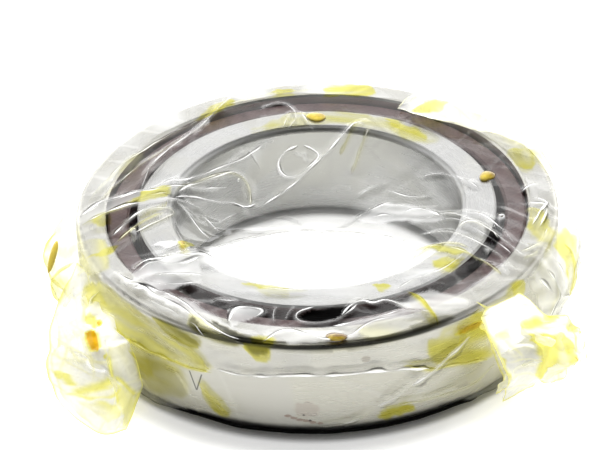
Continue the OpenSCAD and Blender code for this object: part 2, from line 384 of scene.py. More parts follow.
# A fold: the path of its ridge, its height, the breadth of its left and right flanks, how white it is, how
# yellow, and half the width of its painted highlight line.
pouch_folds = [
    # The long crease across the bore, and the fan of creases at its lower end.
    ([(9, 24.5), (4.5, 19), (-2.5, 10.5), (-6.5, 6.5), (-10.5, 4.2)], 0.9, 2.2, 0.7, 1, 0, 0.36),
    ([(-10.5, 4.2), (-14.5, 5.5), (-19, 4.5), (-22.5, 1.8)], 0.6, 1.4, 0.7, 0.95, 0, 0.42),
    ([(-10.5, 4.2), (-13.5, 2.6), (-16.5, -1.5)], 0.5, 0.8, 1.2, 0.5, 0, 0.3),
    ([(-22.5, 2), (-19, -1.5), (-16.5, -2.5)], 0.5, 1.2, 0.8, 0.7, 0, 0.3),
    ([(-22.5, 2.8), (-18.5, 8), (-14.5, 11.6), (-12, 11.6), (-10.5, 9.5),
      (-10.5, 5)], 0.5, 0.8, 1.8, 0.75, 0.3, 0.3),
    ([(-26, 2.6), (-20, 7.6), (-14.5, 13.4), (-10.5, 15.5), (-8, 19)], 0.6, 1, 2.4, 0.85, 0, 0.45),
    # The band of film that comes in over the ring at the left.
    ([(-37, -3), (-32, -0.3), (-26, 2.6), (-20, 7)], 0.9, 0.9, 1.6, 1, 0, 0.55),
    ([(-36.5, -4.8), (-31.5, -2.6), (-27.5, 0.3), (-23, 3)], 0.5, 0.7, 1.2, 0.9, 0.5, 0.45),
    ([(-30.5, -5), (-26.5, -2), (-22.5, -0.5), (-22, -1.8), (-25, -4.5),
      (-28.5, -7)], 0.5, 0.8, 1, 0.75, 0.2, 0.3),
    ([(-12.5, 34.5), (-14.5, 30), (-19, 22), (-24, 15.5), (-26.5, 9.5),
      (-27.5, 4)], 0.6, 1.2, 0.8, 0.8, 0.1, 0.34),
    # Loops and wisps at the back.
    ([(-35.6, 1.6), (-33.1, 8.4), (-30, 13.9), (-26.1, 18.2), (-22.3, 22.2),
      (-18.1, 26.4)], 0.2, 0.5, 0.5, 0.8, 0.25, 0.28),
    ([(-33.7, 1.2), (-30.9, 7.7), (-26.3, 13.9), (-21, 20)], 0.2, 0.5, 0.5, 0.6, 0.3, 0.24),
    ([(-14.2, 29.9), (-8.2, 32.7), (-1.9, 33.9), (4.8, 34.1)], 0.2, 0.5, 0.5, 0.7, 0.3, 0.24),
    ([(-2.2, 19.2), (-4.5, 17.9), (-6, 15.3), (-5.5, 12.5), (-3.2, 11.6), (0.1, 13.9), (1.1, 16.2),
      (-0.3, 18.1), (-2.2, 19.2)], 0.3, 0.6, 0.6, 1.3, 0, 0.42),
    ([(-3.4, 17.9), (-2.3, 16.6), (-1.3, 17.3), (-1.7, 15.2), (-0.4, 16)], 0.3, 0.5, 0.5, 1, 0, 0.5),
    ([(-9, 27), (-7.5, 29.2), (-5, 30.2), (-3.2, 28.2), (-2.4, 24.5),
      (-4.5, 21.5)], 0.3, 0.5, 0.5, 0.8, 0, 0.3),
    ([(16, 7), (18.5, 7.4), (21, 6.2), (24, 3.5), (26, 1)], 0.4, 1.2, 0.6, 0.8, 0, 0.28),
    # Creases that run out over the cage at the right.
    ([(16.5, -5.5), (19, -4.6), (21.5, -6.5), (24.5, -9.5), (27.5, -13.5),
      (31, -18.5)], 0.7, 1.4, 0.8, 0.9, 0.1, 0.36),
    ([(18.5, -6.2), (20.5, -6.8), (23, -9.6), (26, -13.2), (29, -17.5)], 0.5, 0.8, 0.8, 0.85, 0, 0.3),
    ([(15, -9), (20, -10.8), (23, -13), (26, -16), (29.5, -22)], 0.6, 1, 1.6, 0.85, 0.1, 0.36),
    ([(13, -14), (18.5, -14.2), (22.5, -16.6), (27, -22.5)], 0.4, 0.9, 0.9, 0.7, 0.5, 0.32),
    ([(32, -3), (34, -4), (37, -6.5)], 0.4, 0.6, 0.6, 1.2, 0, 0.5),
    ([(5.4, -1.3), (7.5, 0.1), (9.6, 1.2), (11.8, 2.2)], 0.3, 0.5, 0.5, 1.2, 0, 0.55),
    ([(10.6, 0), (12.5, 0.8), (14.5, -0.4)], 0.3, 0.5, 0.5, 1.2, 0, 0.45),
    ([(12.9, -1.9), (15.2, -1.3), (17.5, -3), (19, -5.7)], 0.3, 0.5, 0.5, 1.2, 0, 0.5),
    ([(8.5, -1.7), (10.4, -1.1), (11.9, -2.5)], 0.3, 0.5, 0.5, 0.9, 0, 0.4),
    # The film bunches over the cage at the front, round a window painted black as shade.
    ([(-27.9, -17.6), (-25.4, -17), (-22.7, -15.5), (-19.3, -13.6),
      (-16.6, -13.3)], 0.6, 0.9, 1.2, 1.2, 0, 0.45),
    ([(-16.7, -11.6), (-13.3, -6.8), (-8.4, -3.5), (-2.8, -3.6), (1.9, -5.3)], 0.3, 2, 2, 0.45, 0, 0.4),
    ([(-28.2, -22.2), (-23.4, -23.8), (-19.7, -28.1), (-16.4, -32.8), down_side(-111, 16.3),
      down_side(-108, 16.4)], 0.6, 0.9, 1.2, 1.4, 0, 0.62),
    ([(-25.6, -25), (-23.5, -27.4), (-21.8, -29), (-20.5, -30.6), down_side(-118, 16.2),
      down_side(-116, 15.7)], 0.4, 0.8, 0.8, 1, 0, 0.24),
    ([(-13.7, -31.8), (-13.2, -29.8), (-12.4, -28.1), (-8.7, -28.6), (-8.3, -29.4), (-9.3, -30.3),
      (-10.5, -30.7)], 0.3, 0.5, 0.5, 1.2, 0, 0.5),
    ([(-6.4, -27.8), (-7.1, -29.5), (-7, -32.4)], 0.3, 0.4, 0.4, 0.8, 0, 0.24),
    ([(-3.7, -27.9), (-4.8, -29.6), (-5.6, -32)], 0.3, 0.4, 0.4, 0.8, 0, 0.24),
    ([(-0.5, -28.2), (-3.2, -29.4), (-4.2, -31.2), (-2, -32.4), (2, -32.2), (4.2, -30.2),
      (5.4, -28.2)], 0.3, 0.4, 0.4, 1, 0, 0.34),
    ([(2.7, -31.6), (4.4, -28.5), (6.2, -27.3), (7.5, -28.7), (8.9, -27.2), (10.2, -27.6),
      (12.8, -30.5)], 0.4, 0.6, 0.6, 1.2, 0, 0.4),
    ([(1.1, -33.2), (4.2, -33.2), (7.3, -32.4), (9.9, -31.6), (11.1, -30.9), (13, -30.8),
      (16, -31.7)], 0.4, 0.6, 0.6, 1.3, 0, 0.5),
    ([(12.5, -25.2), (14, -26.8), (15.6, -30.9), down_side(-64, 15.6)], 0.4, 0.6, 0.6, 0.5, 1, 0.36),
    ([(-9, -36.5), (-5.5, -33.6), (-2.6, -35.6), (0.5, -37.4), (4, -36.6), (6, -33.6), (10.5, -32.2),
      (16, -32)], 0.5, 0.8, 1.2, 1, 0, 0.4),
    ([(-27.8, -20.2), (-25.3, -21.4), (-22.6, -22.1), (-19.9, -21.8),
      (-17.9, -20.6)], 0.5, 0.8, 0.8, 1.1, 0, 0.5),
    ([(-27.6, -18.6), (-25.1, -17.2), (-22.1, -17.4), (-19.4, -16.8),
      (-17.5, -15.4)], 0.5, 0.8, 0.8, 1, 0, 0.45),
    ([(-25.3, -20.4), (-22.6, -20), (-20.2, -21), (-18.5, -19.3)], 0.5, 0.8, 0.8, 0.9, 0.1, 0.4),
    # Down the side: the foot of the upper layer, the bold fold at the right, and creases.
    ([down_side(-115, 10.5), down_side(-111, 10.2), down_side(-104, 10.6), down_side(-98, 11.2),
      down_side(-89, 11), down_side(-84, 11.2), down_side(-74, 10.6),
      down_side(-66, 9.4)], 0.5, 0.6, 0.6, 1.6, 0.05, 0.55),
    ([down_side(-154, 12), down_side(-136, 9.6), down_side(-124, 9.4),
      down_side(-115, 9.5)], 0.4, 0.8, 0.8, 0.55, 0.9, 0.45),
    ([down_side(-73, 10.9), down_side(-66, 9.2), down_side(-58, 8),
      down_side(-50, 6)], 0.4, 0.8, 0.8, 0.7, 0.8, 0.36),
    ([down_side(-55, 12.2), down_side(-67, 8.6), down_side(-75, 5.8),
      down_side(-79, 4.1)], 0.9, 1.2, 0.8, 0.75, 0.1, 1.1),
    ([down_side(-79, 4.1), down_side(-84, 2.2), down_side(-92, 1.6)], 0.4, 0.8, 0.8, 0.5, 0.2, 0.36),
    ([down_side(-75, 4.2), down_side(-66, 3.4), down_side(-55, 3.1),
      down_side(-48, 5)], 0.5, 0.8, 0.8, 0.6, 0.3, 0.34),
    ([down_side(-119, 6.5), down_side(-115, 4.4), down_side(-112, 1.8)], 0.3, 0.5, 0.8, 0.35, 0.5, 0.3),
    ([down_side(-147, 15.8), down_side(-150, 12.9), down_side(-148, 9),
      down_side(-144, 6)], 0.6, 0.8, 0.8, 0.8, 0.5, 0.4),
    ([down_side(-160, 15.8), down_side(-164, 12.5), down_side(-167, 6),
      down_side(-166, 2)], 0.6, 0.8, 0.8, 0.6, 0.7, 0.36),
    ([down_side(-174, 15.4), down_side(-175, 9.5), down_side(-173, 3)], 0.6, 0.8, 0.8, 0.5, 1, 0.4),
    ([down_side(-26, 15.6), down_side(-25, 11), down_side(-23, 5.4)], 0.6, 0.8, 0.8, 0.9, 0.1, 0.36),
    ([down_side(-19, 15.4), down_side(-17, 10), down_side(-18, 4)], 0.6, 0.8, 0.8, 0.7, 0.9, 0.5),
    ([down_side(-33, 15), down_side(-29, 10), down_side(-21, 7)], 0.5, 0.8, 0.8, 0.9, 0, 0.45),
    ([(33, -2), (34.5, -2.7), (35.9, -3.9), down_side(-17, 19.9)], 0.3, 0.6, 0.6, 1.3, 0, 0.42),
    ([(33, -3.5), (34.5, -4.4), (35.5, -6.2), down_side(-19, 18.8)], 0.3, 0.6, 0.6, 1, 0.2, 0.36),
    ([(32.3, -4.8), (34.1, -6.6), (35.3, -10)], 0.5, 0.6, 0.6, 1, 0.5, 0.36),
    ([(29.9, -16.4), (31.9, -16), (33.8, -13.7), (34.9, -10.3)], 0.5, 0.6, 0.6, 1.2, 0.3, 0.36),
    ([(30.2, -18.6), (32.1, -17.6), down_side(-26, 17.3)], 0.4, 0.6, 0.6, 0.9, 0.3, 0.3),
    ([(26.8, -19.9), (27.8, -22.1)], 0.4, 0.6, 0.6, 1.2, 0, 0.36),
    ([(31.6, -0.5), (33.3, 1.1), (35, 2.1)], 0.4, 0.6, 0.6, 1.1, 0, 0.32),
    ([(-36, -2.9), (-32.1, -0.6), (-27.5, 1.6), (-22.9, 3.6), (-18.2, 6.5),
      (-13.8, 9.4)], 0.5, 0.6, 0.6, 1.5, 0, 0.4),
    ([(-35.6, -4.3), (-31.3, -2.4), (-26.2, 0.1), (-21.6, 2.1), (-17.5, 2.9)], 0.5, 0.6, 0.6, 1.4, 0, 0.4),
    ([(-34.9, -1.6), (-30.6, 1), (-26.6, 3)], 0.5, 0.6, 0.6, 1.2, 0, 0.3),
    ([(-31.5, -7.9), (-29.2, -4.2), (-26.5, -1.6), (-24, -0.3)], 0.4, 0.6, 0.6, 1.3, 0.1, 0.34),
    ([(-30.8, -9.3), (-28.2, -5.4), (-25.5, -3.1), (-23.4, -1.8)], 0.4, 0.6, 0.6, 1, 0.5, 0.3),
    ([(-21.6, 1.8), (-19.7, -1.2), (-17.1, -6.2), (-16.2, -6.5)], 0.4, 0.6, 0.6, 1, 0, 0.28),
    ([(-29.2, -20.4), (-26.7, -22.3), (-23.7, -25.4), (-21, -28.3),
      (-18.3, -31.2)], 0.5, 0.6, 0.6, 1.5, 0, 0.46),
    ([(-31.1, -16.8), (-29.5, -19.6), (-27.3, -21.3), (-24.9, -22.5)], 0.5, 0.6, 0.6, 1.3, 0.1, 0.4),
    ([(-28.7, -17.3), (-25.4, -17), (-21.7, -16.1), (-17.9, -15.3),
      (-14.2, -14.8)], 0.5, 0.6, 0.6, 1.3, 0, 0.42),
    ([(-27.5, -19.7), (-23.8, -20.5), (-20.1, -19.7), (-16.4, -19.1)], 0.5, 0.6, 0.6, 1.2, 0, 0.4),
    ([(-23.2, -15), (-20.9, -16.2), (-18.5, -15.8), (-16.1, -14.4)], 0.4, 0.6, 0.6, 1.2, 0, 0.36),
    ([(-23.7, -23.8), (-21.3, -26.5), (-18.9, -29.4)], 0.4, 0.6, 0.6, 1, 0, 0.3),
    ([down_side(-12, 15.5), down_side(-10, 10), down_side(-12, 4)], 0.6, 0.8, 0.8, 1.3, 0.2, 0.45),
    ([down_side(-23, 15.5), down_side(-21, 9), down_side(-24, 3)], 0.6, 0.8, 0.8, 1.3, 0.1, 0.45),
    ([down_side(-30, 15.6), down_side(-28, 9), down_side(-30, 4)], 0.6, 0.8, 0.8, 1.1, 0.2, 0.4),
    ([(-18.5, -15.6), (-14.3, -9.2), (-8.7, -4.5), (-2.8, -3.6), (3.4, -4.8), (9.5, -7.6),
      (14.2, -10.8)], 0.5, 1.2, 1.2, 1, 0, 0.5),
    ([(-22, 3.1), (-17.6, 8.6), (-12.7, 12.5), (-11.1, 10.7), (-11, 6.3)], 0.4, 0.8, 0.8, 0.9, 0.1, 0.36),
    ([(-18.3, 1.4), (-16.4, -1.5), (-14.8, -3.6)], 0.4, 0.7, 0.7, 0.9, 0, 0.32),
    ([(-9.2, 6.2), (-10.5, 5.1), (-11.5, 4.5), (-12.7, 4.9), (-14.9, 5.5)], 0.4, 0.7, 0.7, 1.1, 0, 0.36),
    ([(-3.3, 27.5), (-4.2, 25), (-4.7, 22.2)], 0.3, 0.5, 0.5, 0.9, 0, 0.26),
    ([(-2, 27.4), (-1.1, 24.1), (-0.2, 22.2), (0.8, 21.3)], 0.3, 0.5, 0.5, 0.9, 0, 0.26),
    ([(-8.5, 13), (-10, 16.1), (-11, 17.8)], 0.3, 1.2, 1.2, 0.5, 0, 0.4),
    ([(5.9, 11.1), (7.8, 16.8), (9.3, 21.5)], 0.3, 0.8, 0.8, 0.35, 0.3, 0.45),
    ([(4.1, 15.3), (5.9, 19.4), (7.4, 22.3)], 0.3, 0.8, 0.8, 0.3, 0.4, 0.4),
    ([(10.9, 6.1), (13.2, 3.7), (15.9, 1.7), (18.7, 1.8)], 0.3, 0.8, 0.8, 0.9, 0, 0.32),
    ([(6.3, 4.7), (8.6, 6.8), (11.5, 7.5)], 0.3, 0.8, 0.8, 0.8, 0, 0.34),
    ([(20, -6.4), (22.3, -4.9), (25, -5.4), (27.4, -9.2), (29.5, -14.8)], 0.4, 0.8, 0.8, 1.1, 0, 0.34),
    ([(20.8, -9.9), (23.2, -8.4), (25.5, -10.2), (27.3, -14.1)], 0.4, 0.8, 0.8, 1.1, 0.2, 0.3),
    ([(13.5, -17.1), (16.7, -14.1), (20.1, -13.6), (22.7, -15.4)], 0.4, 0.8, 0.8, 0.8, 0.4, 0.34),
    ([(10.9, -24.6), (14.7, -22.8), (18.7, -19.9), (22.3, -15.9)], 0.4, 0.8, 0.8, 0.8, 0.1, 0.34),
    ([(-9, -23.3), (-5.3, -24.5), (-1.6, -24.3)], 0.3, 0.6, 0.6, 0.7, 0.3, 0.28),
    ([(-15.7, -25.4), (-13.7, -26.8), (-11.9, -26.4)], 0.3, 0.6, 0.6, 1, 0, 0.3),
]
# A patch: its outline, how white it is, how yellow with oil, and how blurred its edge is. Below zero it is
# painted shade, which darkens the film and what shows through it.
pouch_patches = [
    # Milky folds over the ring's front, with painted shade inside them, and the glare of the slack film over
    # the bore, painted as whiteness.
    ([(-28.2, -18.1), (-23.9, -16.5), (-19.4, -14.2), (-17, -13.8), (-17.9, -17.5), (-17.3, -20.6),
      (-18.4, -21.6), (-21.1, -22.5), (-23, -23.1), (-25.2, -23.5), (-27.8, -22)], 0.58, 0, 0.6),
    ([(-25.3, -19.1), (-23.3, -18.7), (-20.3, -19.7), (-20.5, -20.4), (-23.8, -20.2)], -0.35, 0, 0.5),
    ([(-13.5, -28.5), (-12.5, -28.1), (-8.7, -28.6), (-8.3, -29.4), (-9.3, -30.1), (-10.2, -30.8),
      (-11.2, -30.9), (-12.2, -31.9), (-13.7, -32), (-13.2, -30.1)], 0.62, 0, 0.4),
    ([(-12.2, -29.1), (-10.8, -28.7), (-9.4, -29.3), (-10.5, -29.7), (-11.9, -29.9)], -0.25, 0, 0.4),
    ([(-22.5, -23.4), (-19.3, -25.1), (-15.6, -29.4), (-13.7, -31.5), (-11.1, -32.7), (-8.8, -33.8),
      down_side(-108, 16.6), down_side(-112, 16.7), (-16.4, -32.3), (-19.7, -27.9)], 0.45, 0, 0.8),
    ([(-22, -17.5), (-14, -9.5), (1.5, -8), (15, -11.5), (21.5, -17.5), (17, -23), (9.5, -27), (-3, -27.6),
      (-11, -25), (-17, -22.4)], 0.4, 0, 3),
    ([(5, 0), (5.5, 4), (9, 5.6), (11.5, 4.6), (13, 1.5), (15.5, 1.5), (18, -2), (21, -4.5), (16, -5.2),
      (9.5, -5)], 0.22, 0, 3),
    ([(6, -1.2), (9.6, 2.1), (11.9, 2.7), (14.9, 0.3), (17.8, -2.5), (19.9, -6.4), (16.5, -6.3),
      (12.8, -3.7), (9.4, -3.8)], 0.5, 0, 1.2),
    ([(10.8, -28.4), (13, -26.5), (16, -25.4), (18.4, -26.6), (21.8, -27.8), (21.5, -29.8), (19.2, -31.2),
      (16, -31.7), (13, -30.5)], 0.55, 0.12, 1),
    ([(4.9, -34.2), (8.3, -33.2), (11.2, -32.4), (15.2, -33.1), down_side(-67, 16), down_side(-72, 15.9),
      down_side(-80, 16.3)], 0.45, 0.35, 1),
    ([(11.4, -21.2), (12.4, -22.4), (13.6, -21.1), (13.4, -24), (12.2, -24.4)], -0.2, 0, 0.4),
    ([(25.5, -10.2), (27.3, -11.9), (26.8, -14.6), (24.9, -13.4)], -0.6, 0, 0.6),
    ([(21.8, -19.3), (24.1, -18.2), (24.1, -20.3), (21.9, -21.7)], -0.55, 0, 0.6),
    ([(-18.8, -15.3), (-15.8, -9.4), (-10.5, -5.6), (-5.9, -5.4), (-2.1, -7.8), (-4.4, -12.6), (-7.2, -14.5),
      (-13.5, -15.3)], -0.08, 0, 1.2),
    ([(-36.5, -9), (-33, -7.5), (-31.5, -11.5), (-32, -17), (-35, -17)], 0.45, 0.55, 1),
    ([(-37, -2.4), (-31, 0.6), (-24, 4.8), (-24.5, 2.2), (-31.5, -2.8), (-36.5, -5.5)], 0.42, 0, 0.5),
    ([(-17.2, 26.6), (-19.4, 23.6), (-22.3, 19.4), (-23.8, 15.8), (-21.9, 17.5), (-19.1, 21.7),
      (-16.8, 24.7)], 0.45, 0, 0.8),
    ([(17.7, 13), (21.3, 7.9), (22.7, 0.5), (21.3, -3.9), (17.6, -0.4), (16.5, 6.9)], 0.2, 0, 2.5),
    # The window, painted black as shade.
    ([(-3.4, -30.8), (-2.2, -29.2), (0.5, -28.7), (4.6, -28.6), (3.3, -30.4), (1.5, -31.6),
      (-1.5, -31.9)], -0.97, 0, 0.15),
    ([(-27.3, -16.8), (-25.4, -15.9), (-22.9, -15.7), (-22.7, -16.3), (-25.1, -16.8),
      (-26.9, -17.4)], -0.85, 0, 0.3),
    # Oil under the film, from yellow to olive.
    ([(-29, -0.8), (-26.5, 2.4), (-22.5, 4.4), (-23, 2.6), (-26, 0.2)], 0.25, 1, 0.5),
    ([(-34.5, -4), (-32.5, -2.2), (-31.5, -4.4), (-33.5, -5.4)], 0.15, 1, 0.5),
    ([(-34.5, -13), (-32.5, -10.4), (-30.6, -9.8), (-30.4, -11.2), (-32.4, -12.4)], 0.2, 1, 0.5),
    ([(-21, -9.8), (-19.6, -9), (-19, -11.4), (-20.4, -11.8)], 0.3, 1.4, 0.4),
    ([(-25, -10.5), (-22.5, -8.5), (-20.5, -9.8), (-22, -11.5)], 1, 0, 0.5),
    ([(-19.5, 26), (-16, 30.8), (-12.6, 32.4), (-13, 30.2), (-16.5, 26.5)], 0.05, 1, 0.5),
    ([(-7, 33.2), (-5, 35), (-2.4, 34.4), (-3.6, 32.8)], 0.05, 1, 0.5),
    ([(2, 31.8), (2.6, 35.8), (9, 35.4), (11.5, 33), (8, 31.6), (5, 32.6)], 0.05, 1, 0.6),
    ([(-9.5, 22), (-4, 26.6), (3, 27.4), (9, 25.8), (16, 21.5), (20.5, 17), (17.5, 16), (10, 22.4), (2, 24),
      (-5, 22.8)], 0.1, 0.55, 1.2),
    ([(12, 24), (16.5, 20.6), (18.6, 17.6), (17, 17), (13, 20.6)], 0.05, 1, 0.8),
    ([(30.8, 12.4), (34.5, 13.4), (35.4, 9.6), (33.5, 6.6), (31.6, 8.8)], 0.15, 1, 0.7),
    ([(32.6, -4.6), (33.8, -5.8), (35.6, -9.6), (34.2, -15), (32, -10.5)], 0.35, 0.8, 0.8),
    ([(17, -16.8), (20.5, -17), (21.2, -19.4), (18, -20.6)], 0.15, 1, 0.6),
    ([(15.5, -13), (19, -13.2), (23, -16.6), (20.5, -16.4), (17, -14.8)], 0.35, 0.8, 0.7),
    ([(7.8, -23.2), (9.5, -22.4), (10.6, -23.5), (9, -24.6)], 0.2, 1, 0.4),
    ([(-11.5, -21.2), (-8, -22), (-4.6, -23.4), (-4.6, -24.2), (-8.5, -23.2)], 0.3, 0.9, 0.4),
    ([(-9.6, -34.4), (-7.6, -35), (-6.4, -36.2), (-8.4, -36.8), (-10.4, -35.6)], 0, 1, 0.5),
    ([(28, -24), (29.6, -22.6), (31.2, -23.6), (31.4, -25.6), (29.6, -27.6)], 0.05, 1, 0.6),
    # The upper layer down the side, and oil below it.
    ([down_side(-152, 15.6), down_side(-139, 15.7), down_side(-133, 14.8), down_side(-127, 13.4),
      down_side(-119, 12.4), down_side(-115, 9.6), down_side(-124, 9.2), down_side(-136, 9.6),
      down_side(-148, 10.2), down_side(-155, 12.2)], 0.38, 0.78, 0.35),
    ([down_side(-122, 12.6), down_side(-106, 14.2), down_side(-86, 15), down_side(-73, 14.6),
      down_side(-60, 14), down_side(-58, 9.6), down_side(-66, 9.2), down_side(-73, 10.9),
      down_side(-88, 10.7), down_side(-100, 11), down_side(-116, 9.6)], 0.24, 0.05, 0.5),
    ([down_side(-131, 15.6), down_side(-122, 15.4), down_side(-118, 14.2), down_side(-119, 12.8),
      down_side(-126, 13.8)], -0.4, 1, 0.5),
    ([down_side(-108, 15.4), down_side(-101, 15.4), down_side(-102, 13.2),
      down_side(-106, 13)], 0.12, 1, 0.4),
    ([down_side(-66, 13.4), down_side(-58, 15.4), down_side(-48, 14), down_side(-46, 5.6),
      down_side(-58, 7.4), down_side(-66, 10.4)], 0.22, 0.85, 1),
    ([down_side(-60, 13.6), down_side(-55, 14), down_side(-50, 13.4), down_side(-51, 12.2),
      down_side(-56, 12.6)], -0.2, 1.6, 0.4),
    ([down_side(-79, 2.1), down_side(-75, 3.6), down_side(-70, 3.4), down_side(-70, 1.9),
      down_side(-75, 1.5)], 0, 1, 0.4),
    ([down_side(-119, 7), down_side(-115, 5.2), down_side(-111, 1.9), down_side(-115, 1.6),
      down_side(-118, 4)], 0.08, 0.85, 0.5),
    ([down_side(-136, 5.8), down_side(-133, 6.2), down_side(-132, 4.8), down_side(-134, 4.6)], 0, 1, 0.5),
    ([down_side(-178, 15.6), down_side(-160, 15.6), down_side(-158, 9), down_side(-170, 3),
      down_side(-178, 5)], 0.22, 0.55, 2),
    ([down_side(-22, 15.6), down_side(-13, 15.6), down_side(-12, 8), down_side(-18, 5),
      down_side(-22, 9)], 0.3, 0.95, 1),
    ([down_side(12, 16), down_side(52, 16), down_side(48, 6), down_side(16, 6)], 0.15, 0.5, 3),
    # Under the corner the film is painted dark, as shade.
    ([(-16, -30.6), (-11.9, -33.8), (-8.8, -35.7), down_side(-95, 16.3), down_side(-86, 16.5), (8.1, -36),
      (14, -33.9), (18.8, -31.4), down_side(-60, 16.1), down_side(-68, 15.5), down_side(-78, 15.2),
      down_side(-86, 15.1), down_side(-95, 15.1), down_side(-104, 15.2), down_side(-108, 16),
      (-16, -32.1)], -0.66, 0.3, 0.6),
    ([down_side(-108, 16.3), down_side(-104, 16.1), down_side(-102, 16.2), down_side(-102, 14.3),
      down_side(-105, 13.6), down_side(-107, 14.6)], -0.45, 1, 0.4),
    ([down_side(-141, 6.5), down_side(-130, 8.2), down_side(-123, 7.8), down_side(-122, 2.9),
      down_side(-131, 2), down_side(-139, 1.9)], -0.14, 0.45, 1.2),
    ([(-19.2, -29.9), (-15.5, -32.6), down_side(-108, 15.7), down_side(-110, 14.6), down_side(-116, 15.3),
      down_side(-121, 16.3)], -0.42, 0.6, 0.6),
    ([(-30.1, -18.5), (-26.7, -21.3), (-22.9, -24.9), (-19.2, -29.2), (-17, -32.3), (-19.2, -30.7),
      (-22.9, -26.9), (-26.7, -23.1), (-29.5, -20.3)], 0.75, 0.05, 0.5),
    ([(-23.9, 2.5), (-21.3, 3.2), (-20.4, 2.6), (-21.9, 1.8)], -0.45, 0, 0.3),
    ([(-22.2, 1.9), (-17.6, 8), (-12.8, 11.9), (-11.6, 10.2), (-11.1, 6.3), (-16, 5.3),
      (-19.5, 3.6)], -0.15, 0, 0.8),
    ([(-20.4, 1.4), (-18.3, 3.1), (-16.4, -0.2), (-14.8, -3.6), (-17, -4.6), (-19.1, -1.9)], -0.13, 0, 0.8),
    ([(-13.4, 4.9), (-11.2, 5.2), (-9.6, 6), (-10.8, 4.7), (-12.4, 4.4)], -0.6, 0, 0.3),
    ([(-16.1, 11.3), (-14.4, 14.3), (-11.9, 17.9), (-10.6, 18.4), (-12, 15.7), (-13.9, 12.6)], 0.26, 0, 1.2),
    ([(-10.4, 20.2), (-8.3, 21.4), (-8.4, 10), (-10.5, 7.2)], 0.09, 0, 1),
    ([(6.1, 16.7), (8.5, 18.5), (9, 7.7), (6.3, 4.7)], 0.09, 0, 1.2),
    ([(-17.3, -15.4), (-12, -8.5), (-4.4, -7.4), (-2.6, -10.2), (-7.5, -14), (-13.4, -17.5)], -0.05, 0, 1),
    # The film's foot, tucked under the ring into its own shade.
    ([down_side(turn, 1.25 if -124 < turn < -56 else 0.45) for turn in range(-180, 180, 6)]
     + [down_side(turn, -3.0) for turn in range(174, -186, -6)],
     -0.97, 0, 0.25),
    ([(-30.9, 10.9), (-29.6, 15), (-27.5, 16.7), (-27.9, 13.1), (-29.4, 9.6)], 0.15, 0.45, 1.2),
    ([(-8.8, -33.8), (-3.3, -33.4), (3.2, -33.4), (3.1, -36.3), down_side(-95, 16.2),
      down_side(-103, 16.6)], 0.6, 0.08, 0.8),
    ([down_side(-36, 15.4), down_side(-24, 15.8), down_side(-10, 15.6), down_side(-8, 3),
      down_side(-30, 3)], 0.7, 0.15, 1.5),
    ([down_side(-144, 8.4), down_side(-134, 7.8), down_side(-131, 5.8), down_side(-133, 3.4),
      down_side(-143, 2.6)], 0, 0.8, 1.2),
]


def softened(path, rounds=2):
    """A path with its corners cut, so that it runs in curves."""
    path = np.array(path, float)
    for _ in range(rounds):
        early, late = path[:-1], path[1:]
        cut = np.stack([0.75 * early + 0.25 * late, 0.25 * early + 0.75 * late], 1).reshape(-1, 2)
        path = np.vstack([path[:1], cut, path[-1:]])
    return path


def near_path(at, path, reach=8.0, rounds=2):
    """How far each place is from a path, on which side of it, and what share of the path it has passed."""
    path = softened(path, rounds)
    lengths = np.linalg.norm(np.diff(path, axis=0), axis=1)
    away, side, share = np.full(len(at), 4 * reach), np.zeros(len(at)), np.zeros(len(at))
    close = np.flatnonzero(((at > path.min(0) - reach) & (at < path.max(0) + reach)).all(1))
    passed = 0.0
    for first, last, length in zip(path, path[1:], lengths):
        line = (last - first) / max(length, 1e-9)
        run = np.clip((at[close] - first) @ line, 0, length)
        offset = at[close] - first - run[:, None] * line
        distance = np.hypot(*offset.T)
        nearer = distance < away[close]
        here = close[nearer]
        away[here] = distance[nearer]
        side[here] = (line[0] * offset[:, 1] - line[1] * offset[:, 0])[nearer]
        share[here] = (passed + run[nearer]) / lengths.sum()
        passed += length
    return away, side, share


def within(at, outline, blur):
    """How far inside a closed outline each place is, from 0 to 1 over its blurred edge."""
    corners = softened(outline + outline[:1], 1)
    inside = np.zeros(len(at), bool)
    for first, last in zip(corners, corners[1:]):
        rise = last[1] - first[1]
        if abs(rise) > 1e-9:
            spans = (first[1] > at[:, 1]) != (last[1] > at[:, 1])
            inside ^= spans & (at[:, 0] < first[0] + (at[:, 1] - first[1]) * (last[0] - first[0]) / rise)
    away = near_path(at, outline + outline[:1], rounds=1)[0]
    return np.clip(0.5 + np.where(inside, away, -away) / blur, 0, 1)


def creased(at, folds):
    """The height, whiteness and yellowness that folds give a film."""
    height, white, yellow = np.zeros((3, len(at)))
    for path, ridge, left, right, whiteness, yellowness, breadth in folds:
        away, side, share = near_path(at, path)
        fade = np.clip(6 * share, 0, 1) * np.clip(6 * (1 - share), 0, 1)
        rounded = np.hypot(away, 0.4) - 0.4
        height += ridge * fade * np.exp(-rounded / np.where(side > 0, left, right))
        white = np.maximum(white, whiteness * fade * np.exp(-(away / breadth) ** 2))
        yellow = np.maximum(yellow, yellowness * fade * np.exp(-(away / (1.4 * breadth)) ** 2))
    return height, white, yellow


def zigzag(wave):
    """A wave that runs from -1 to 1 in straight flanks with barely rounded ridges, as film creases do."""
    return np.arcsin(0.985 * np.sin(2 * math.pi * wave)) / math.asin(0.985)


def cloudy(at, size, seed, waves=7):
    """Soft random values, mostly from -1 to 1, over flat places, cloud by cloud of a size."""
    draw = np.random.default_rng(int(10 * seed))
    total = np.zeros(len(at))
    for _ in range(waves):
        angle, breadth = draw.uniform(0, 2 * math.pi), size * draw.uniform(1.4, 3.4)
        run = at @ (math.cos(angle), math.sin(angle))
        total += np.sin(2 * math.pi * run / breadth + draw.uniform(0, 6.28))
    return total / math.sqrt(waves)


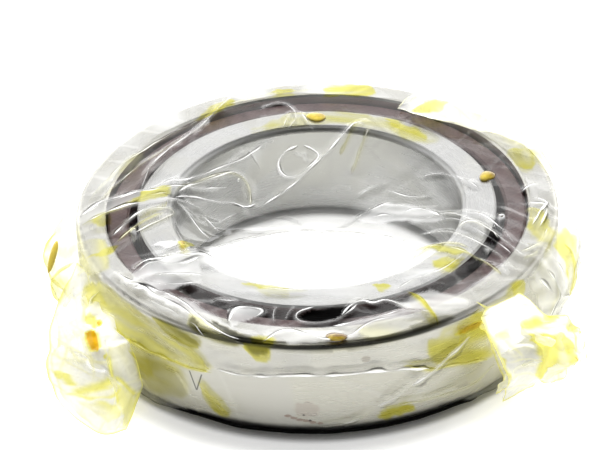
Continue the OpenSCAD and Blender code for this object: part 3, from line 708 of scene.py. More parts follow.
def crumpled(at, pitch, seed, ways=5):
    """The height of film that is crushed by hand, in straight creases several ways, and how near one is."""
    draw = np.random.default_rng(seed)
    total, crease = np.zeros(len(at)), np.zeros(len(at))
    for way in range(ways):
        angle = math.pi * (way + draw.uniform(-0.3, 0.3)) / ways
        breadth = pitch * draw.uniform(0.7, 1.6)
        bend = 0.22 * cloudy(at, 2.5 * pitch, seed + way)
        wave = (at @ (math.cos(angle), math.sin(angle))) / breadth + draw.uniform() + bend
        where = np.clip(0.35 + cloudy(at, 1.6 * pitch, seed + 10.5 + way), 0, 1)
        total += breadth / pitch * where * zigzag(wave)
        crease = np.maximum(crease, where * np.exp(-((1 - np.abs(zigzag(wave))) * breadth / 0.9) ** 2))
    return total / ways, crease


def streaky(at, outline, seed):
    """Soft streaks along the length of an outline, mostly from -1 to 1."""
    lengthwise = np.linalg.svd(np.array(outline) - np.mean(outline, 0), full_matrices=False)[2]
    return cloudy(at @ lengthwise.T * (0.2, 1.0), 1.2, seed)


def painted(at, white, yellow, patches):
    """Whiteness and yellowness with patches laid over them; a patch below zero paints shade. Oil is deeper at
    a patch's edge, as it creeps.
    """
    painted_shade = np.zeros(len(at))
    wavering = at + 0.26 * np.stack([cloudy(at, 1.4, 71.0), cloudy(at, 1.4, 72.0)], 1)
    for number, (outline, whiteness, yellowness, blur) in enumerate(patches):
        inside = within(at if whiteness < 0 else wavering, outline, blur)
        streaks = streaky(at, outline, number)
        white = np.maximum(white, whiteness * inside * np.clip(0.88 + 0.2 * streaks, 0.3, 1.1))
        painted_shade = np.maximum(painted_shade, -whiteness * inside)
        rim = 1.2 * inside * (1 - inside)
        yellow = np.maximum(yellow, yellowness * (inside * np.clip(0.82 + 0.3 * streaks, 0.3, 1.1) + rim))
    return np.where(white > painted_shade, white, -painted_shade), yellow


def vertex_values(mesh, **values):
    """Stores a value for each vertex under each name, for the material to read."""
    for name, value in values.items():
        mesh.attributes.new(name, "FLOAT", "POINT").data.foreach_set("value", np.asarray(value, np.float32))


def new_piece(name, shape, material):
    """A finished bmesh as a piece of the object that rides on the outer ring."""
    mesh = bpy.data.meshes.new(name)
    shape.to_mesh(mesh)
    shape.free()
    mesh.materials.append(material)
    mesh.shade_smooth()
    piece = bpy.data.objects.new(name, mesh)
    bpy.context.scene.collection.objects.link(piece)
    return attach(piece, "outer_ring")


# Film shows by what it mirrors from its two faces, and lets the rest through. Where it is
# folded on itself it is milky, and where oil lies it is yellow, then amber.
film, tree, shader = new_material("oiled polyethylene film")
whiteness = add_node(tree, "Attribute", attribute_name="whiteness").outputs["Fac"]
white = sum_of(tree, "MULTIPLY", whiteness, 1.0, clamp=True)
# Whiteness below zero is painted shade: it turns what shows through the film black and takes away its
# mirroring.
painted_shade = sum_of(tree, "MULTIPLY", whiteness, -1.0, clamp=True)
yellow = add_node(tree, "Attribute", attribute_name="oil").outputs["Fac"]
crinkle = add_node(tree, "TexNoise", {"Vector": object_place(tree), "Scale": 380.0, "Detail": 3.0})
crinkle = crinkle.outputs["Fac"]
film_index, lit_through = 1.5, 0.7
inside = add_node(tree, "NewGeometry").outputs["Backfacing"]
index = add_node(tree, "Mix", {"Factor": inside, "A": film_index, "B": 1 / film_index}).outputs["Result"]
mirror = sum_of(tree, "MULTIPLY", add_node(tree, "Fresnel", {"IOR": index}).outputs[0], 0.9)
mirror = sum_of(tree, "MULTIPLY", mirror, sum_of(tree, "SUBTRACT", 1.0, sum_of(tree, "MULTIPLY", painted_shade, 0.97)))
milk = sum_of(tree, "MULTIPLY", white, ramp_of(tree, crinkle, 0.3, 0.7, 0.94, 1.04), clamp=True)
pale = sum_of(tree, "ADD", milk, sum_of(tree, "MULTIPLY", yellow, 0.08))
cover = sum_of(tree, "MAXIMUM", mirror, pale, clamp=True)
oily, amber = ramp_of(tree, yellow, 0.0, 1.0), ramp_of(tree, yellow, 1.0, 1.8)
cover = sum_of(tree, "MAXIMUM", cover, sum_of(tree, "MULTIPLY", amber, 0.45))
# It throws less of a shadow than it covers, so that what lies below stays light.
shadow_ray = add_node(tree, "LightPath").outputs["Is Shadow Ray"]
shade = sum_of(tree, "SUBTRACT", 1.0, sum_of(tree, "MULTIPLY", shadow_ray, lit_through))
cover = sum_of(tree, "MULTIPLY", cover, shade)
clear_tint = blend_of(tree, oily, (0.985, 0.985, 0.98, 1), (0.86, 0.83, 0.32, 1))
clear_tint = blend_of(tree, amber, clear_tint, (0.80, 0.50, 0.02, 1))
clear_tint = blend_of(tree, painted_shade, clear_tint, (0.0, 0.0, 0.0, 1))
tint = blend_of(tree, oily, (0.97, 0.97, 0.96, 1), (0.95, 0.91, 0.24, 1))
tint = blend_of(tree, amber, tint, (0.80, 0.44, 0.01, 1))
tree.links.new(tint, shader.inputs["Base Color"])
tree.links.new(ramp_of(tree, milk, 0.05, 0.35, 1.0, 0.0), shader.inputs["Metallic"])
# Where the film is white it glows a little, as painted light; it is no lamp.
tree.links.new(tint, shader.inputs["Emission Color"])
painted_glow = sum_of(tree, "POWER", sum_of(tree, "MAXIMUM", whiteness, 0.0), 1.5)
tree.links.new(sum_of(tree, "MULTIPLY", painted_glow, 0.42), shader.inputs["Emission Strength"])
film.cycles.emission_sampling = "NONE"
shader.inputs["Roughness"].default_value = 0.06
bump = add_node(tree, "Bump", {"Strength": 0.12, "Distance": 0.00015, "Height": crinkle})
tree.links.new(bump.outputs[0], shader.inputs["Normal"])
through = add_node(tree, "BsdfTransparent", {"Color": clear_tint})
both = add_node(tree, "MixShader", {0: cover, 1: through.outputs[0], 2: shader.outputs[0]})
tree.links.new(both.outputs[0], tree.nodes["Material Output"].inputs["Surface"])

shape = bmesh.new()
rim = [shape.verts.new((radius * mm, 0, height * mm)) for radius, height in pouch_profile]
line = [shape.edges.new(pair) for pair in zip(rim, rim[1:])]
bmesh.ops.spin(shape, geom=rim + line, axis=(0, 0, 1), cent=(0, 0, 0), steps=pouch_turns, angle=2 * math.pi,
               use_merge=True)
bmesh.ops.remove_doubles(shape, verts=shape.verts, dist=0.001 * mm)
bmesh.ops.recalc_face_normals(shape, faces=shape.faces)
shape.verts.ensure_lookup_table()

# How near the film may come to the steel and to the table, and where its parts meet.
film_inside, film_lowest, film_on_top = 37.6, -0.95, 16.09
bore_edge, top_edge, under_edge = 22.3, 36.8, 37.3
base = np.array([vertex.co[:] for vertex in shape.verts]) / mm
outward = np.array([vertex.normal[:] for vertex in shape.verts])
radius, angle = np.hypot(base[:, 0], base[:, 1]), np.arctan2(base[:, 1], base[:, 0])
under = (base[:, 2] < 0.5) & (radius < under_edge)
reach = radius + np.clip(pouch_top - base[:, 2], 0, None) * (radius > 36)
flat = np.stack([reach * np.cos(angle), reach * np.sin(angle)], 1)
# The ridges get painted highlight lines of their own, so the film itself is only a little whiter there.
height, white, yellow = creased(flat, pouch_folds)
white *= 0.22

# Across the bore the film sinks towards its lowest point.
from_dip = flat - dip_at
distance = np.hypot(*from_dip.T)
line = from_dip / np.maximum(distance, 1e-6)[:, None]
along = line @ dip_at
to_rim = -along + np.sqrt(np.maximum(along ** 2 + dip_rim ** 2 - dip_at @ dip_at, 0))
slack = np.clip(1 - (distance / to_rim) ** 1.6, 0, 1)
height -= dip_depth * slack

# It is pulled towards the two gathers, so fine creases spread from them. A gather: its
# centre, how many creases a full turn would have, and how far they carry.
for centre, count, spread in (((-58, -20), 52, 24.0), ((56, -24), 56, 22.0)):
    offset = flat - np.array(centre)
    turn = np.arctan2(offset[:, 1], offset[:, 0]) / (2 * math.pi)
    away = np.hypot(*offset.T)
    wander = 0.5 * cloudy(flat, 14.0, count)
    strength = np.exp(-away / spread) * np.clip(0.5 + cloudy(flat, 7.0, count + 0.5), 0, 1)
    height += 0.55 * strength * zigzag(turn * count + wander)
crush, crease = crumpled(flat, 13.0, 5)
height += 0.9 * crush * (1 - 0.5 * slack)
white = np.maximum(white, 0.12 * crease)

# Down the side it hangs in folds, and stands off the ring at left and right.
down = np.clip(reach - 37.0, 0, 16) / 16


def about(centre, breadth):
    """How near the pouch is to a direction, in degrees: 1 there, and 0 well past a breadth."""
    turn = (np.degrees(angle) - centre + 180) % 360 - 180
    return np.exp(-(turn / breadth) ** 2)


gathered = about(196, 38) + about(-16, 38)
for count, seed, size in ((23, 3.0, 0.55), (41, 8.0, 0.3)):
    wave = zigzag(angle / (2 * math.pi) * count + 0.35 * cloudy(flat, 9.0, seed))
    height += size * (0.12 + gathered) * down * (1 - 0.6 * down) * (1 + wave)
for centre, breadth, swell in ((188, 26, 4.1), (-8, 22, 3.2), (30, 18, 2.8), (118, 16, 1.2)):
    height += swell * about(centre, breadth) * np.sin(math.pi * np.clip(1.05 * down, 0, 1) ** 0.8)

moved = base + outward * height[:, None]
on_top = (radius < top_edge) & ~under
on_rings = on_top & (radius > bore_edge)
moved[on_rings, 2] = np.maximum(moved[on_rings, 2], film_on_top)
on_side = ~on_top & ~under
moved[on_side, :2] *= np.maximum(film_inside / np.hypot(*moved[on_side, :2].T), 1)[:, None]
rumple = np.clip(0.45 + 0.6 * cloudy(flat[under], 5.0, 40), 0, 1)
moved[under, 2] -= 0.8 * rumple * np.clip((36 - radius[under]) / 3, 0, 1)
moved[:, 2] = np.maximum(moved[:, 2], film_lowest)
# Where it clings to the two faces of the rings it veils them. The outer is whiter towards the back, and that
# rise is painted light.
clings = ((radius > 23.4) & (radius < 27.6)) | ((radius > 33.0) & (radius < 36.6)) & ~under
veil_and_painted_light = np.where(radius > 30, 0.20 + 0.15 * np.clip(flat[:, 1] / 30, 0, 1), 0.09)
white = white + veil_and_painted_light * clings * np.clip(1 + 0.6 * cloudy(flat, 5.0, 61.0), 0, 2)
white = np.clip(white + 0.02 + 0.05 * down * gathered, 0, 1)
yellow = np.clip(yellow + 0.5 * gathered * down * np.clip(cloudy(flat, 11.0, 21.0), 0, 1), 0, 2)
white, yellow = painted(flat, white, yellow, pouch_patches)
white[under], yellow[under] = 0.02, 0.05
for vertex, place in zip(shape.verts, moved * mm):
    vertex.co = place
pouch = new_piece("film_pouch", shape, film)
vertex_values(pouch.data, whiteness=white, oil=yellow)

# Along the ridge of each fold a hard white line is painted as a highlight, with a dark line of painted shade
# beside it. A row across a ridge has its places in half-breadths of the line, each with its lift off the film
# and its tone, and the ridge tapers over its two ends.
ridge_row = ((-1.0, 0.0, 0.0), (0.0, 0.05, 1.0), (0.7, 0.0, 0.1), (1.3, 0.0, -0.55), (2.2, 0.0, 0.0))
ridge_step, ridge_lift, ridge_end = 0.22, 0.14, 1.5
ridges = bmesh.new()
ridge_highlight_and_shade, ridge_oil = [], []
pouch_surface = surface_of(pouch)


def on_film(spot):
    """The place and the outward normal on the film at a flat place."""
    reach = math.hypot(*spot)
    outward = Vector((spot[0], spot[1], 0)) / max(reach, 1e-9)
    if reach < pouch_side:
        place, normal, _, _ = pouch_surface.ray_cast(Vector((spot[0], spot[1], 40)) * mm, Vector((0, 0, -1)))
    else:
        start = 60 * outward + Vector((0, 0, pouch_side + pouch_top - reach))
        place, normal, _, _ = pouch_surface.ray_cast(start * mm, -outward)
    return place, normal


for number, (path, _, _, _, whiteness, yellowness, breadth) in enumerate(pouch_folds):
    line = softened(path)
    passed = np.concatenate([[0], np.cumsum(np.linalg.norm(np.diff(line, axis=0), axis=1))])
    shares = np.linspace(0, 1, max(int(passed[-1] / ridge_step), 8))
    spots = np.stack([np.interp(shares * passed[-1], passed, line[:, axis]) for axis in (0, 1)], 1)
    spots += 0.05 * np.stack([cloudy(spots, 2.0, number + 0.1), cloudy(spots, 2.0, number + 0.2)], 1)
    swell = np.clip(0.75 + 0.45 * cloudy(spots, 2.4, number + 0.3), 0.25, 1.4)
    taper = (np.clip(shares * passed[-1] / ridge_end, 0, 1)
             * np.clip((1 - shares) * passed[-1] / ridge_end, 0, 1))
    found = [on_film(spot) for spot in spots]
    rows = []
    for here in range(len(found)):
        close_by = found[max(here - 3, 0):here + 4]
        place = sum((place for place, _ in close_by), Vector()) / len(close_by)
        normal = sum((normal for _, normal in close_by), Vector()).normalized()
        ahead = found[min(here + 1, len(found) - 1)][0] - found[max(here - 1, 0)][0]
        sideways = normal.cross(ahead).normalized()
        width = 0.5 * breadth * swell[here] * max(taper[here], 0.12)
        rows.append([ridges.verts.new(place + (normal * (ridge_lift + lift) + sideways * across * width) * mm)
                     for across, lift, _ in ridge_row])
        ridge_highlight_and_shade += [whiteness * swell[here] * taper[here] * tone for _, _, tone in ridge_row]
        ridge_oil += [0.8 * yellowness] * len(ridge_row)
    for row, after in zip(rows, rows[1:]):
        for first in range(len(ridge_row) - 1):
            ridges.faces.new((row[first], after[first], after[first + 1], row[first + 1]))
creases = new_piece("film_creases", ridges, film)
vertex_values(creases.data, whiteness=np.clip(ridge_highlight_and_shade, -1, 1.8), oil=ridge_oil)


# ---- Film tails ----------------------------------------------------------------------
# The ends of the sleeve: left and right of the ring the film is gathered in a neck and
# falls open again, crushed and yellow with oil. Each end has a near and a far layer, and
# a flap of film lies loose at the back.
def along_rail(rail, share):
    """Places at shares of the way along a rail, on a smooth curve through its points."""
    rail = np.array(rail, float)
    rail = np.vstack([2 * rail[0] - rail[1], rail, 2 * rail[-1] - rail[-2]])
    step = np.clip(share * (len(rail) - 3), 0, len(rail) - 3 - 1e-9)
    first, rest = step.astype(int), (step % 1)[:, None]
    a, b, c, d = (rail[first + k] for k in range(4))
    return 0.5 * (2 * b + (c - a) * rest + (2 * a - 5 * b + 4 * c - d) * rest ** 2
                  + (3 * b - a - 3 * c + d) * rest ** 3)


# How near the tails may come to the bearing's axis, clear of the pouch, and to the table.
tail_inside, tail_lowest = 38.4, -0.9


def film_sheet(name, rails, crush, pitch, seed, whiteness, oil, folds=(), patches=(), shift=0.0, rim=0.85,
               spacing=0.22):
    """A crushed sheet of film over rails, in millimetres. Its folds and patches are like the pouch's, but
    placed by shares of the sheet's length and breadth."""
    ends = np.array(rails, float)
    long = np.linalg.norm(np.diff(ends, axis=1), axis=2).sum(1).mean()
    broad = np.linalg.norm(np.diff(ends, axis=0), axis=2).sum(0).mean()
    shape = bmesh.new()
    bmesh.ops.create_grid(shape, x_segments=int(long / spacing), y_segments=int(broad / spacing), size=0.5)
    share = np.clip(np.array([vertex.co[:2] for vertex in shape.verts]) + 0.5, 0, 1)
    lines = np.stack([along_rail(rail, share[:, 0]) for rail in rails], 1)
    place = np.array([along_rail(row, across[None])[0] for row, across in zip(lines, share[:, 1])])
    for vertex, at in zip(shape.verts, place * mm):
        vertex.co = at
    shape.normal_update()
    outward = np.array([vertex.normal[:] for vertex in shape.verts])
    flat = share * (long, broad)
    height, crease = crumpled(flat, pitch, seed)
    fine, fine_crease = crumpled(flat, pitch / 2.6, seed + 50)
    folds = [([(x * long, y * broad) for x, y in path], ridge, 1.0, 1.0, white, yellow, breadth)
             for path, ridge, white, yellow, breadth in folds]
    patches = [([(x * long, y * broad) for x, y in outline], white, yellow, blur)
               for outline, white, yellow, blur in patches]
    folded, milk, stain = creased(flat, folds)
    place += outward * (crush * (height + 0.35 * fine) + folded + shift)[:, None]
    away = np.hypot(place[:, 0], place[:, 1])
    inside = (place[:, 2] < pouch_top + 0.1) & (away < tail_inside)
    place[inside, :2] *= (tail_inside / away[inside])[:, None]
    place[:, 2] = np.maximum(place[:, 2], tail_lowest)
    for vertex, at in zip(shape.verts, place * mm):
        vertex.co = at
    piece = new_piece(name, shape, film)
    edge = np.minimum.reduce([share[:, 0] * long, (1 - share[:, 0]) * long,
                              share[:, 1] * broad, (1 - share[:, 1]) * broad])
    cloud = cloudy(flat, 6.0, seed + 0.3)
    creases = np.maximum(crease, 0.6 * fine_crease)
    milk = np.maximum(milk, whiteness * (0.8 + 0.3 * cloud) + 0.16 * creases)
    stain = np.maximum(stain, oil * (0.5 + 0.6 * cloudy(flat, 4.5, seed + 0.7)) + 0.32 * creases ** 2)
    stain = np.maximum(stain, rim * np.exp(-(edge / 0.38) ** 2))
    milk, stain = painted(flat, milk, stain, patches)
    vertex_values(piece.data, whiteness=np.clip(milk, -1, 1.6), oil=np.clip(stain, 0, 1.9))


left_tail = [
    [(-31, -16, 15), (-29.5, -21.5, 13), (-28, -26, 9), (-27, -29, 3), (-29.5, -34, -0.7)],
    [(-34.5, -15.5, 15.5), (-34.5, -21, 13), (-34, -28, 9.5), (-32, -31.5, 4.5), (-33.5, -34.5, -0.7)],
    [(-37, -11, 14), (-40, -15, 10), (-41, -21.5, 7), (-41.5, -24.5, 3), (-39.5, -27.5, -0.7)],
]
right_tail = [
    [(22.5, -28.5, 16.2), (28.5, -25, 15.5), (33, -27.5, 13), (36.5, -25.5, 11), (38, -27.5, 10)],
    [(24.5, -35, 14), (29.5, -32.5, 13), (34, -33, 12), (37, -31.5, 10), (38.5, -30.5, 8)],
    [(26.5, -36, 8), (30, -33.5, 8), (33, -34.5, 8), (36, -33, 7), (38, -30, 6)],
    [(26, -34, 2), (29, -31.5, 1.5), (31.5, -30, 2), (32.5, -30, 3), (33.5, -31.5, 5)],
]
back_flap = [
    [(14, 25.5, 17), (19, 21.5, 17.2), (26, 18, 17.2), (33, 13, 17), (36.8, 11, 16.4)],
    [(14.3, 26.2, 17), (19.5, 28, 17.4), (27, 25.5, 17.4), (34, 20, 17), (38, 16, 15.5)],
    [(14.6, 27, 17), (19, 33, 16), (27, 32.5, 13), (35.5, 25.5, 11), (39.5, 19, 10)],
]

# Folds of the tails: path, ridge, how white, how yellow, breadth.
left_folds = [
    ([(0, 1), (0, 1), (0.09, 1), (0.29, 0.91), (0.4, 0.81), (0.48, 0.65)], 0.6, 1, 0.3, 0.4),
    ([(0, 0.38), (0.04, 0.55), (0.18, 0.63), (0.3, 0.62), (0.39, 0.6)], 0.7, 0.9, 0.7, 0.45),
    ([(0.08, 0.36), (0.13, 0.49), (0.19, 0.59), (0.28, 0.61)], 0.5, 0.9, 0.6, 0.4),
    ([(0.18, 0.3), (0.11, 0.25), (0.01, 0.08), (0.09, 0.09), (0.17, 0.21)], 0.5, 0.9, 0.9, 0.4),
    ([(0.48, 0.29), (0.55, 0.31), (0.64, 0.37), (0.76, 0.38), (0.86, 0.26)], 0.8, 0.8, 0.9, 0.45),
    ([(0.47, 0), (0.55, 0), (0.64, 0), (0.73, 0)], 0.5, 0.9, 0.9, 0.4),
    ([(0.64, 0.37), (0.67, 0.28), (0.76, 0.14), (0.79, 0)], 0.6, 0.8, 0.9, 0.4),
    ([(0.73, 0), (0.82, 0.03), (0.93, 0), (1, 0)], 0.5, 0.7, 0.8, 0.45),
    ([(0.86, 0.86), (0.79, 0.74), (0.73, 0.61), (0.68, 0.44), (0.64, 0.35)], 0.8, 0.8, 0.9, 0.55),
    ([(0.53, 0.61), (0.6, 0.63), (0.63, 0.55), (0.61, 0.4)], 0.5, 1.1, 0.1, 0.4),
    ([(0.69, 0.87), (0.75, 0.85), (0.79, 0.81)], 0.4, 0.6, 1, 0.6),
    ([(0.43, 0.33), (0.47, 0.25), (0.47, 0.11), (0.47, 0)], 0.6, 1.4, 0, 0.5),
    ([(0.3, 0.48), (0.35, 0.45), (0.38, 0.47)], 0.4, 0.5, 1, 0.5),
    ([(0.4, 0.73), (0.47, 0.66), (0.57, 0.64)], 0.5, 0.9, 0.2, 0.4),
    ([(0.16, 0.98), (0.24, 0.77), (0.33, 0.71)], 0.5, 0.8, 0.3, 0.4),
    ([(0.4, 0.59), (0.44, 0.53), (0.5, 0.48)], 0.4, 0.3, 1.8, 0.6),
    ([(0.39, 0.45), (0.44, 0.43), (0.49, 0.42)], 0.4, 0.3, 1.4, 0.5),
]
left_patches = [
    ([(0.4, 0.6), (0.39, 0.5), (0.41, 0.44), (0.49, 0.42), (0.51, 0.46), (0.47, 0.54)], 0.15, 1.85, 0.3),
    ([(0.32, 0.43), (0.32, 0.35), (0.36, 0.34), (0.36, 0.41)], 0.45, 1.5, 0.3),
    ([(0.31, 0.57), (0.31, 0.48), (0.35, 0.48), (0.34, 0.55)], 0.45, 1, 0.3),
    ([(0.52, 0.37), (0.51, 0.31), (0.55, 0.33), (0.55, 0.39)], 0.45, 1, 0.3),
    # A painted highlight.
    ([(0.42, 0.31), (0.45, 0.17), (0.46, 0), (0.48, 0), (0.47, 0.25)], 1.5, 0, 0.25),
    ([(0.48, 0.3), (0.47, 0), (0.73, 0), (0.76, 0.14), (0.64, 0.37)], 0.7, 0.42, 0.4),
    ([(0.65, 0.38), (0.76, 0.15), (0.79, 0), (1, 0), (0.86, 0.3)], 0.7, 0.62, 0.4),
    ([(0.87, 0.88), (0.77, 0.74), (0.72, 0.56), (0.69, 0.3), (0.75, 0.29), (0.79, 0.5),
      (0.82, 0.7)], 0.75, 0.95, 0.5),
    ([(0.7, 0.95), (0.69, 0.86), (0.73, 0.84), (0.77, 0.91)], 0.6, 0.95, 0.4),
    ([(0.87, 0.75), (0.81, 0.57), (0.84, 0.28), (0.91, 0.25), (0.9, 0.6)], 0.6, 0.75, 0.8),
    ([(0.16, 1), (0.12, 0.82), (0.45, 0.65), (0.43, 0.81)], 0.75, 0.05, 0.6),
    ([(0.19, 0.33), (0.14, 0.18), (0.16, 0.06), (0.23, 0.16), (0.25, 0.3)], 0.6, 0.8, 0.4),
]
right_folds = [
    ([(0.19, 0.25), (0.3, 0.24), (0.45, 0.09), (0.62, 0)], 0.6, 0.7, 1, 0.5),
    ([(0.55, 0.21), (0.45, 0.38), (0.4, 0.51), (0.38, 0.66), (0.4, 0.86)], 0.8, 0.7, 1.15, 0.55),
    ([(0.43, 0.28), (0.36, 0.39), (0.35, 0.5), (0.34, 0.62)], 0.5, 0.6, 1.1, 0.45),
    ([(0.28, 0.36), (0.33, 0.39), (0.4, 0.39)], 0.4, 0.6, 1.2, 0.5),
    ([(0.8, 0), (0.91, 0), (0.82, 0.25), (0.81, 0.48)], 0.5, 0.8, 0.8, 0.4),
    ([(0.72, 0.04), (0.77, 0), (0.83, 0), (0.94, 0.01), (0.71, 0.16), (0.7, 0.09)], 0.5, 0.8, 0.9, 0.4),
    ([(0.09, 0.47), (0.16, 0.44), (0.25, 0.45), (0.31, 0.5)], 0.6, 1.3, 0.1, 0.4),
    ([(0, 0.03), (0, 0.19), (0, 0.4), (0.01, 0.56), (0.01, 0.69)], 0.6, 1, 0.4, 0.4),
    ([(0.1, 0.18), (0.14, 0.11), (0.21, 0.09), (0.28, 0.09)], 0.6, 0.6, 0.3, 0.4),
    ([(0.57, 0.23), (0.62, 0.36), (0.73, 0.51)], 0.6, 0.8, 0.9, 0.45),
    ([(0.05, 0.71), (0.14, 0.67), (0.28, 0.7), (0.36, 0.74)], 0.6, 0.9, 0.3, 0.4),
]
right_patches = [
    ([(0, 0.03), (0.15, 0.01), (0.5, 0), (0.64, 0), (0.23, 0.23), (0.21, 0.3), (0.27, 0.37), (0.11, 0.43),
      (0.01, 0.51), (0, 0.32)], 1.15, 0, 0.4),
    ([(0.28, 0.33), (0.43, 0.26), (0.58, 0.2), (0.78, 0.33), (0.87, 0.67), (0.57, 0.58), (0.45, 0.64),
      (0.48, 0.91), (0.38, 0.84), (0.36, 0.58), (0.33, 0.48)], 0.9, 1, 0.3),
    ([(0.72, 0), (0.79, 0), (1, 0.03), (0.69, 0.19)], 0.85, 0.9, 0.4),
    ([(0.77, 0.05), (0.85, 0), (0.86, 0.07), (0.74, 0.13)], 0.6, 1.4, 0.4),
    ([(0.2, 0.26), (0.35, 0.17), (0.53, 0), (0.64, 0), (0.58, 0.01), (0.38, 0.19),
      (0.25, 0.28)], 0.85, 1.05, 0.4),
    ([(0.51, 0.01), (0.62, 0), (0.59, 0), (0.52, 0.04)], 0.7, 1.4, 0.3),
    ([(0, 0.4), (0, 0.57), (0, 0.81), (0.04, 0.7), (0.01, 0.51)], 0.6, 0.9, 0.3),
    ([(0.74, 0.48), (0.8, 0.5), (0.87, 0.67), (0.89, 0.73)], 0.5, 1.7, 0.3),
    ([(0.03, 0.29), (0.13, 0.28), (0.14, 0.35), (0.06, 0.36)], 0.95, 0.5, 0.4),
    ([(0.1, 0.47), (0.18, 0.45), (0.3, 0.49), (0.33, 0.57), (0.25, 0.66), (0.09, 0.6)], 0.45, 0.15, 0.4),
]
flap_folds = [
    ([(0, 0.21), (0.04, 1), (0.14, 0.69), (0.28, 0.55), (0.41, 0.92), (0.46, 0.65)], 0.4, 1, 0.5, 0.35),
    ([(0, 0.21), (0.04, 0), (0.15, 0), (0.31, 0.03), (0.47, 0.08)], 0.4, 1.2, 0.3, 0.4),
    ([(0.1, 0.08), (0.21, 0.3), (0.33, 0.39)], 0.4, 0.7, 0.9, 0.4),
    ([(0.53, 0.02), (0.66, 0), (0.8, 0)], 0.5, 0.9, 0.4, 0.35),
]
flap_patches = [
    ([(0.12, 0.09), (0.18, 0.33), (0.31, 0.43), (0.37, 0.43), (0.31, 0.23), (0.22, 0.09)], 0.55, 0.75, 0.5),
    ([(0.01, 0.31), (0.08, 0.59), (0.12, 0.09), (0.06, 0)], 0.25, 0.1, 0.4),
]
film_sheet("left_tail_near", left_tail, 0.8, 7.0, 11, 0.62, 0.14, left_folds, left_patches)
film_sheet("left_tail_far", left_tail, 1.3, 6.0, 12, 0.50, 0.14, shift=1.2)
film_sheet("right_tail_near", right_tail, 0.9, 6.0, 21, 0.66, 0.16, right_folds, right_patches)
film_sheet("right_tail_far", right_tail, 1.8, 5.0, 22, 0.55, 0.28, shift=1.4)
film_sheet("back_flap", back_flap, 0.4, 6.0, 31, 0.55, 0.08, flap_folds, flap_patches, rim=0.4)

# ---- Oil drops -----------------------------------------------------------------------
# Beads of the preservative oil that the bearing was dipped in. Each is flattened, wet and
# glossy, sits half in the film, and is coloured yellow where thin and amber where thick.
drop_oil, tree, shader = new_material("preservative oil")
thickness = add_node(tree, "Attribute", attribute_name="thickness").outputs["Fac"]
# Painted shade: each drop turns darker, towards amber, where its surface turns away from the view at its rim.
rim = add_node(tree, "LayerWeight", {"Blend": 0.3}).outputs["Facing"]
cloud = add_node(tree, "TexNoise", {"Vector": object_place(tree), "Scale": 1100.0}).outputs["Fac"]
cloud = sum_of(tree, "MULTIPLY", sum_of(tree, "SUBTRACT", cloud, 0.5), 1.2)
clouded = sum_of(tree, "ADD", thickness, cloud)
thick_and_rim_shade = sum_of(tree, "ADD", clouded, sum_of(tree, "MULTIPLY", rim, 0.4), clamp=True)
colour = blend_of(tree, thick_and_rim_shade, (0.95, 0.74, 0.12, 1), (0.20, 0.105, 0.003, 1))
tree.links.new(colour, shader.inputs["Base Color"])
shader.inputs["Roughness"].default_value = 0.07
shader.inputs["Coat Weight"].default_value = 0.5
drop_steps, drop_height = 24, 1.1
# A drop: its image point, its length and breadth, how it leans in the picture in degrees,
# and how thick it looks. All are equally high.
for name, long, broad, lean, thickness in (
        ("amber drop at the back", 3.0, 2.6, 8, 0.15), ("amber drop at the right", 2.3, 2.8, -15, 0.45),
        ("oil drop at the front", 3.0, 2.8, 5, 0.85), ("amber drop at the left", 4.6, 1.0, 84, -0.45)):
    place, normal = placed(name, pouch_surface)
    lean_line = math.cos(math.radians(lean)) * camera_x + math.sin(math.radians(lean)) * camera_y
    lengthwise = (lean_line - normal * lean_line.dot(normal)).normalized()
    stand = Matrix((lengthwise, normal.cross(lengthwise), normal)).transposed().to_4x4()
    shape = bmesh.new()
    bmesh.ops.create_uvsphere(shape, u_segments=drop_steps, v_segments=drop_steps // 2, radius=0.5)
    # Each drop deepens in colour towards one end.
    depths = [thickness + 0.5 * vertex.co.x + 0.3 * vertex.co.y for vertex in shape.verts]
    for vertex in shape.verts:
        turn = math.atan2(vertex.co.y, vertex.co.x)
        ripple = 1 + 0.13 * math.sin(2 * turn + 3 * long) + 0.07 * math.sin(3 * turn + 5 * broad)
        vertex.co = Vector((vertex.co.x * ripple, vertex.co.y * ripple, vertex.co.z))
    size = Matrix.Diagonal((long * mm, broad * mm, drop_height * mm, 1))
    bmesh.ops.transform(shape, matrix=Matrix.Translation(place) @ stand @ size, verts=shape.verts)
    drop = new_piece(name.replace(" ", "_"), shape, drop_oil)
    vertex_values(drop.data, thickness=depths)
    marks_shown[name] = np.mean([shown_at(vertex.co) for vertex in drop.data.vertices], axis=0)

# ---- Studio --------------------------------------------------------------------------
# A white table under soft lamps. The lamp behind the bearing is the brighter, so the
# table stays white and the front foot of the ring stands in its own shadow.
table_drop, table_size = 0.001, 6.0
shape = bmesh.new()
bmesh.ops.create_grid(shape, x_segments=1, y_segments=1, size=table_size / 2,
                      matrix=Matrix.Translation((0, 0, -table_drop)))
table = bpy.data.objects.new("table", bpy.data.meshes.new("table"))
shape.to_mesh(table.data)
shape.free()
bpy.context.scene.collection.objects.link(table)
white_table, tree, shader = new_material("white table")
shader.inputs["Base Color"].default_value = (0.86, 0.86, 0.85, 1)
shader.inputs["Roughness"].default_value = 0.6
shader.inputs["Specular IOR Level"].default_value = 0.2
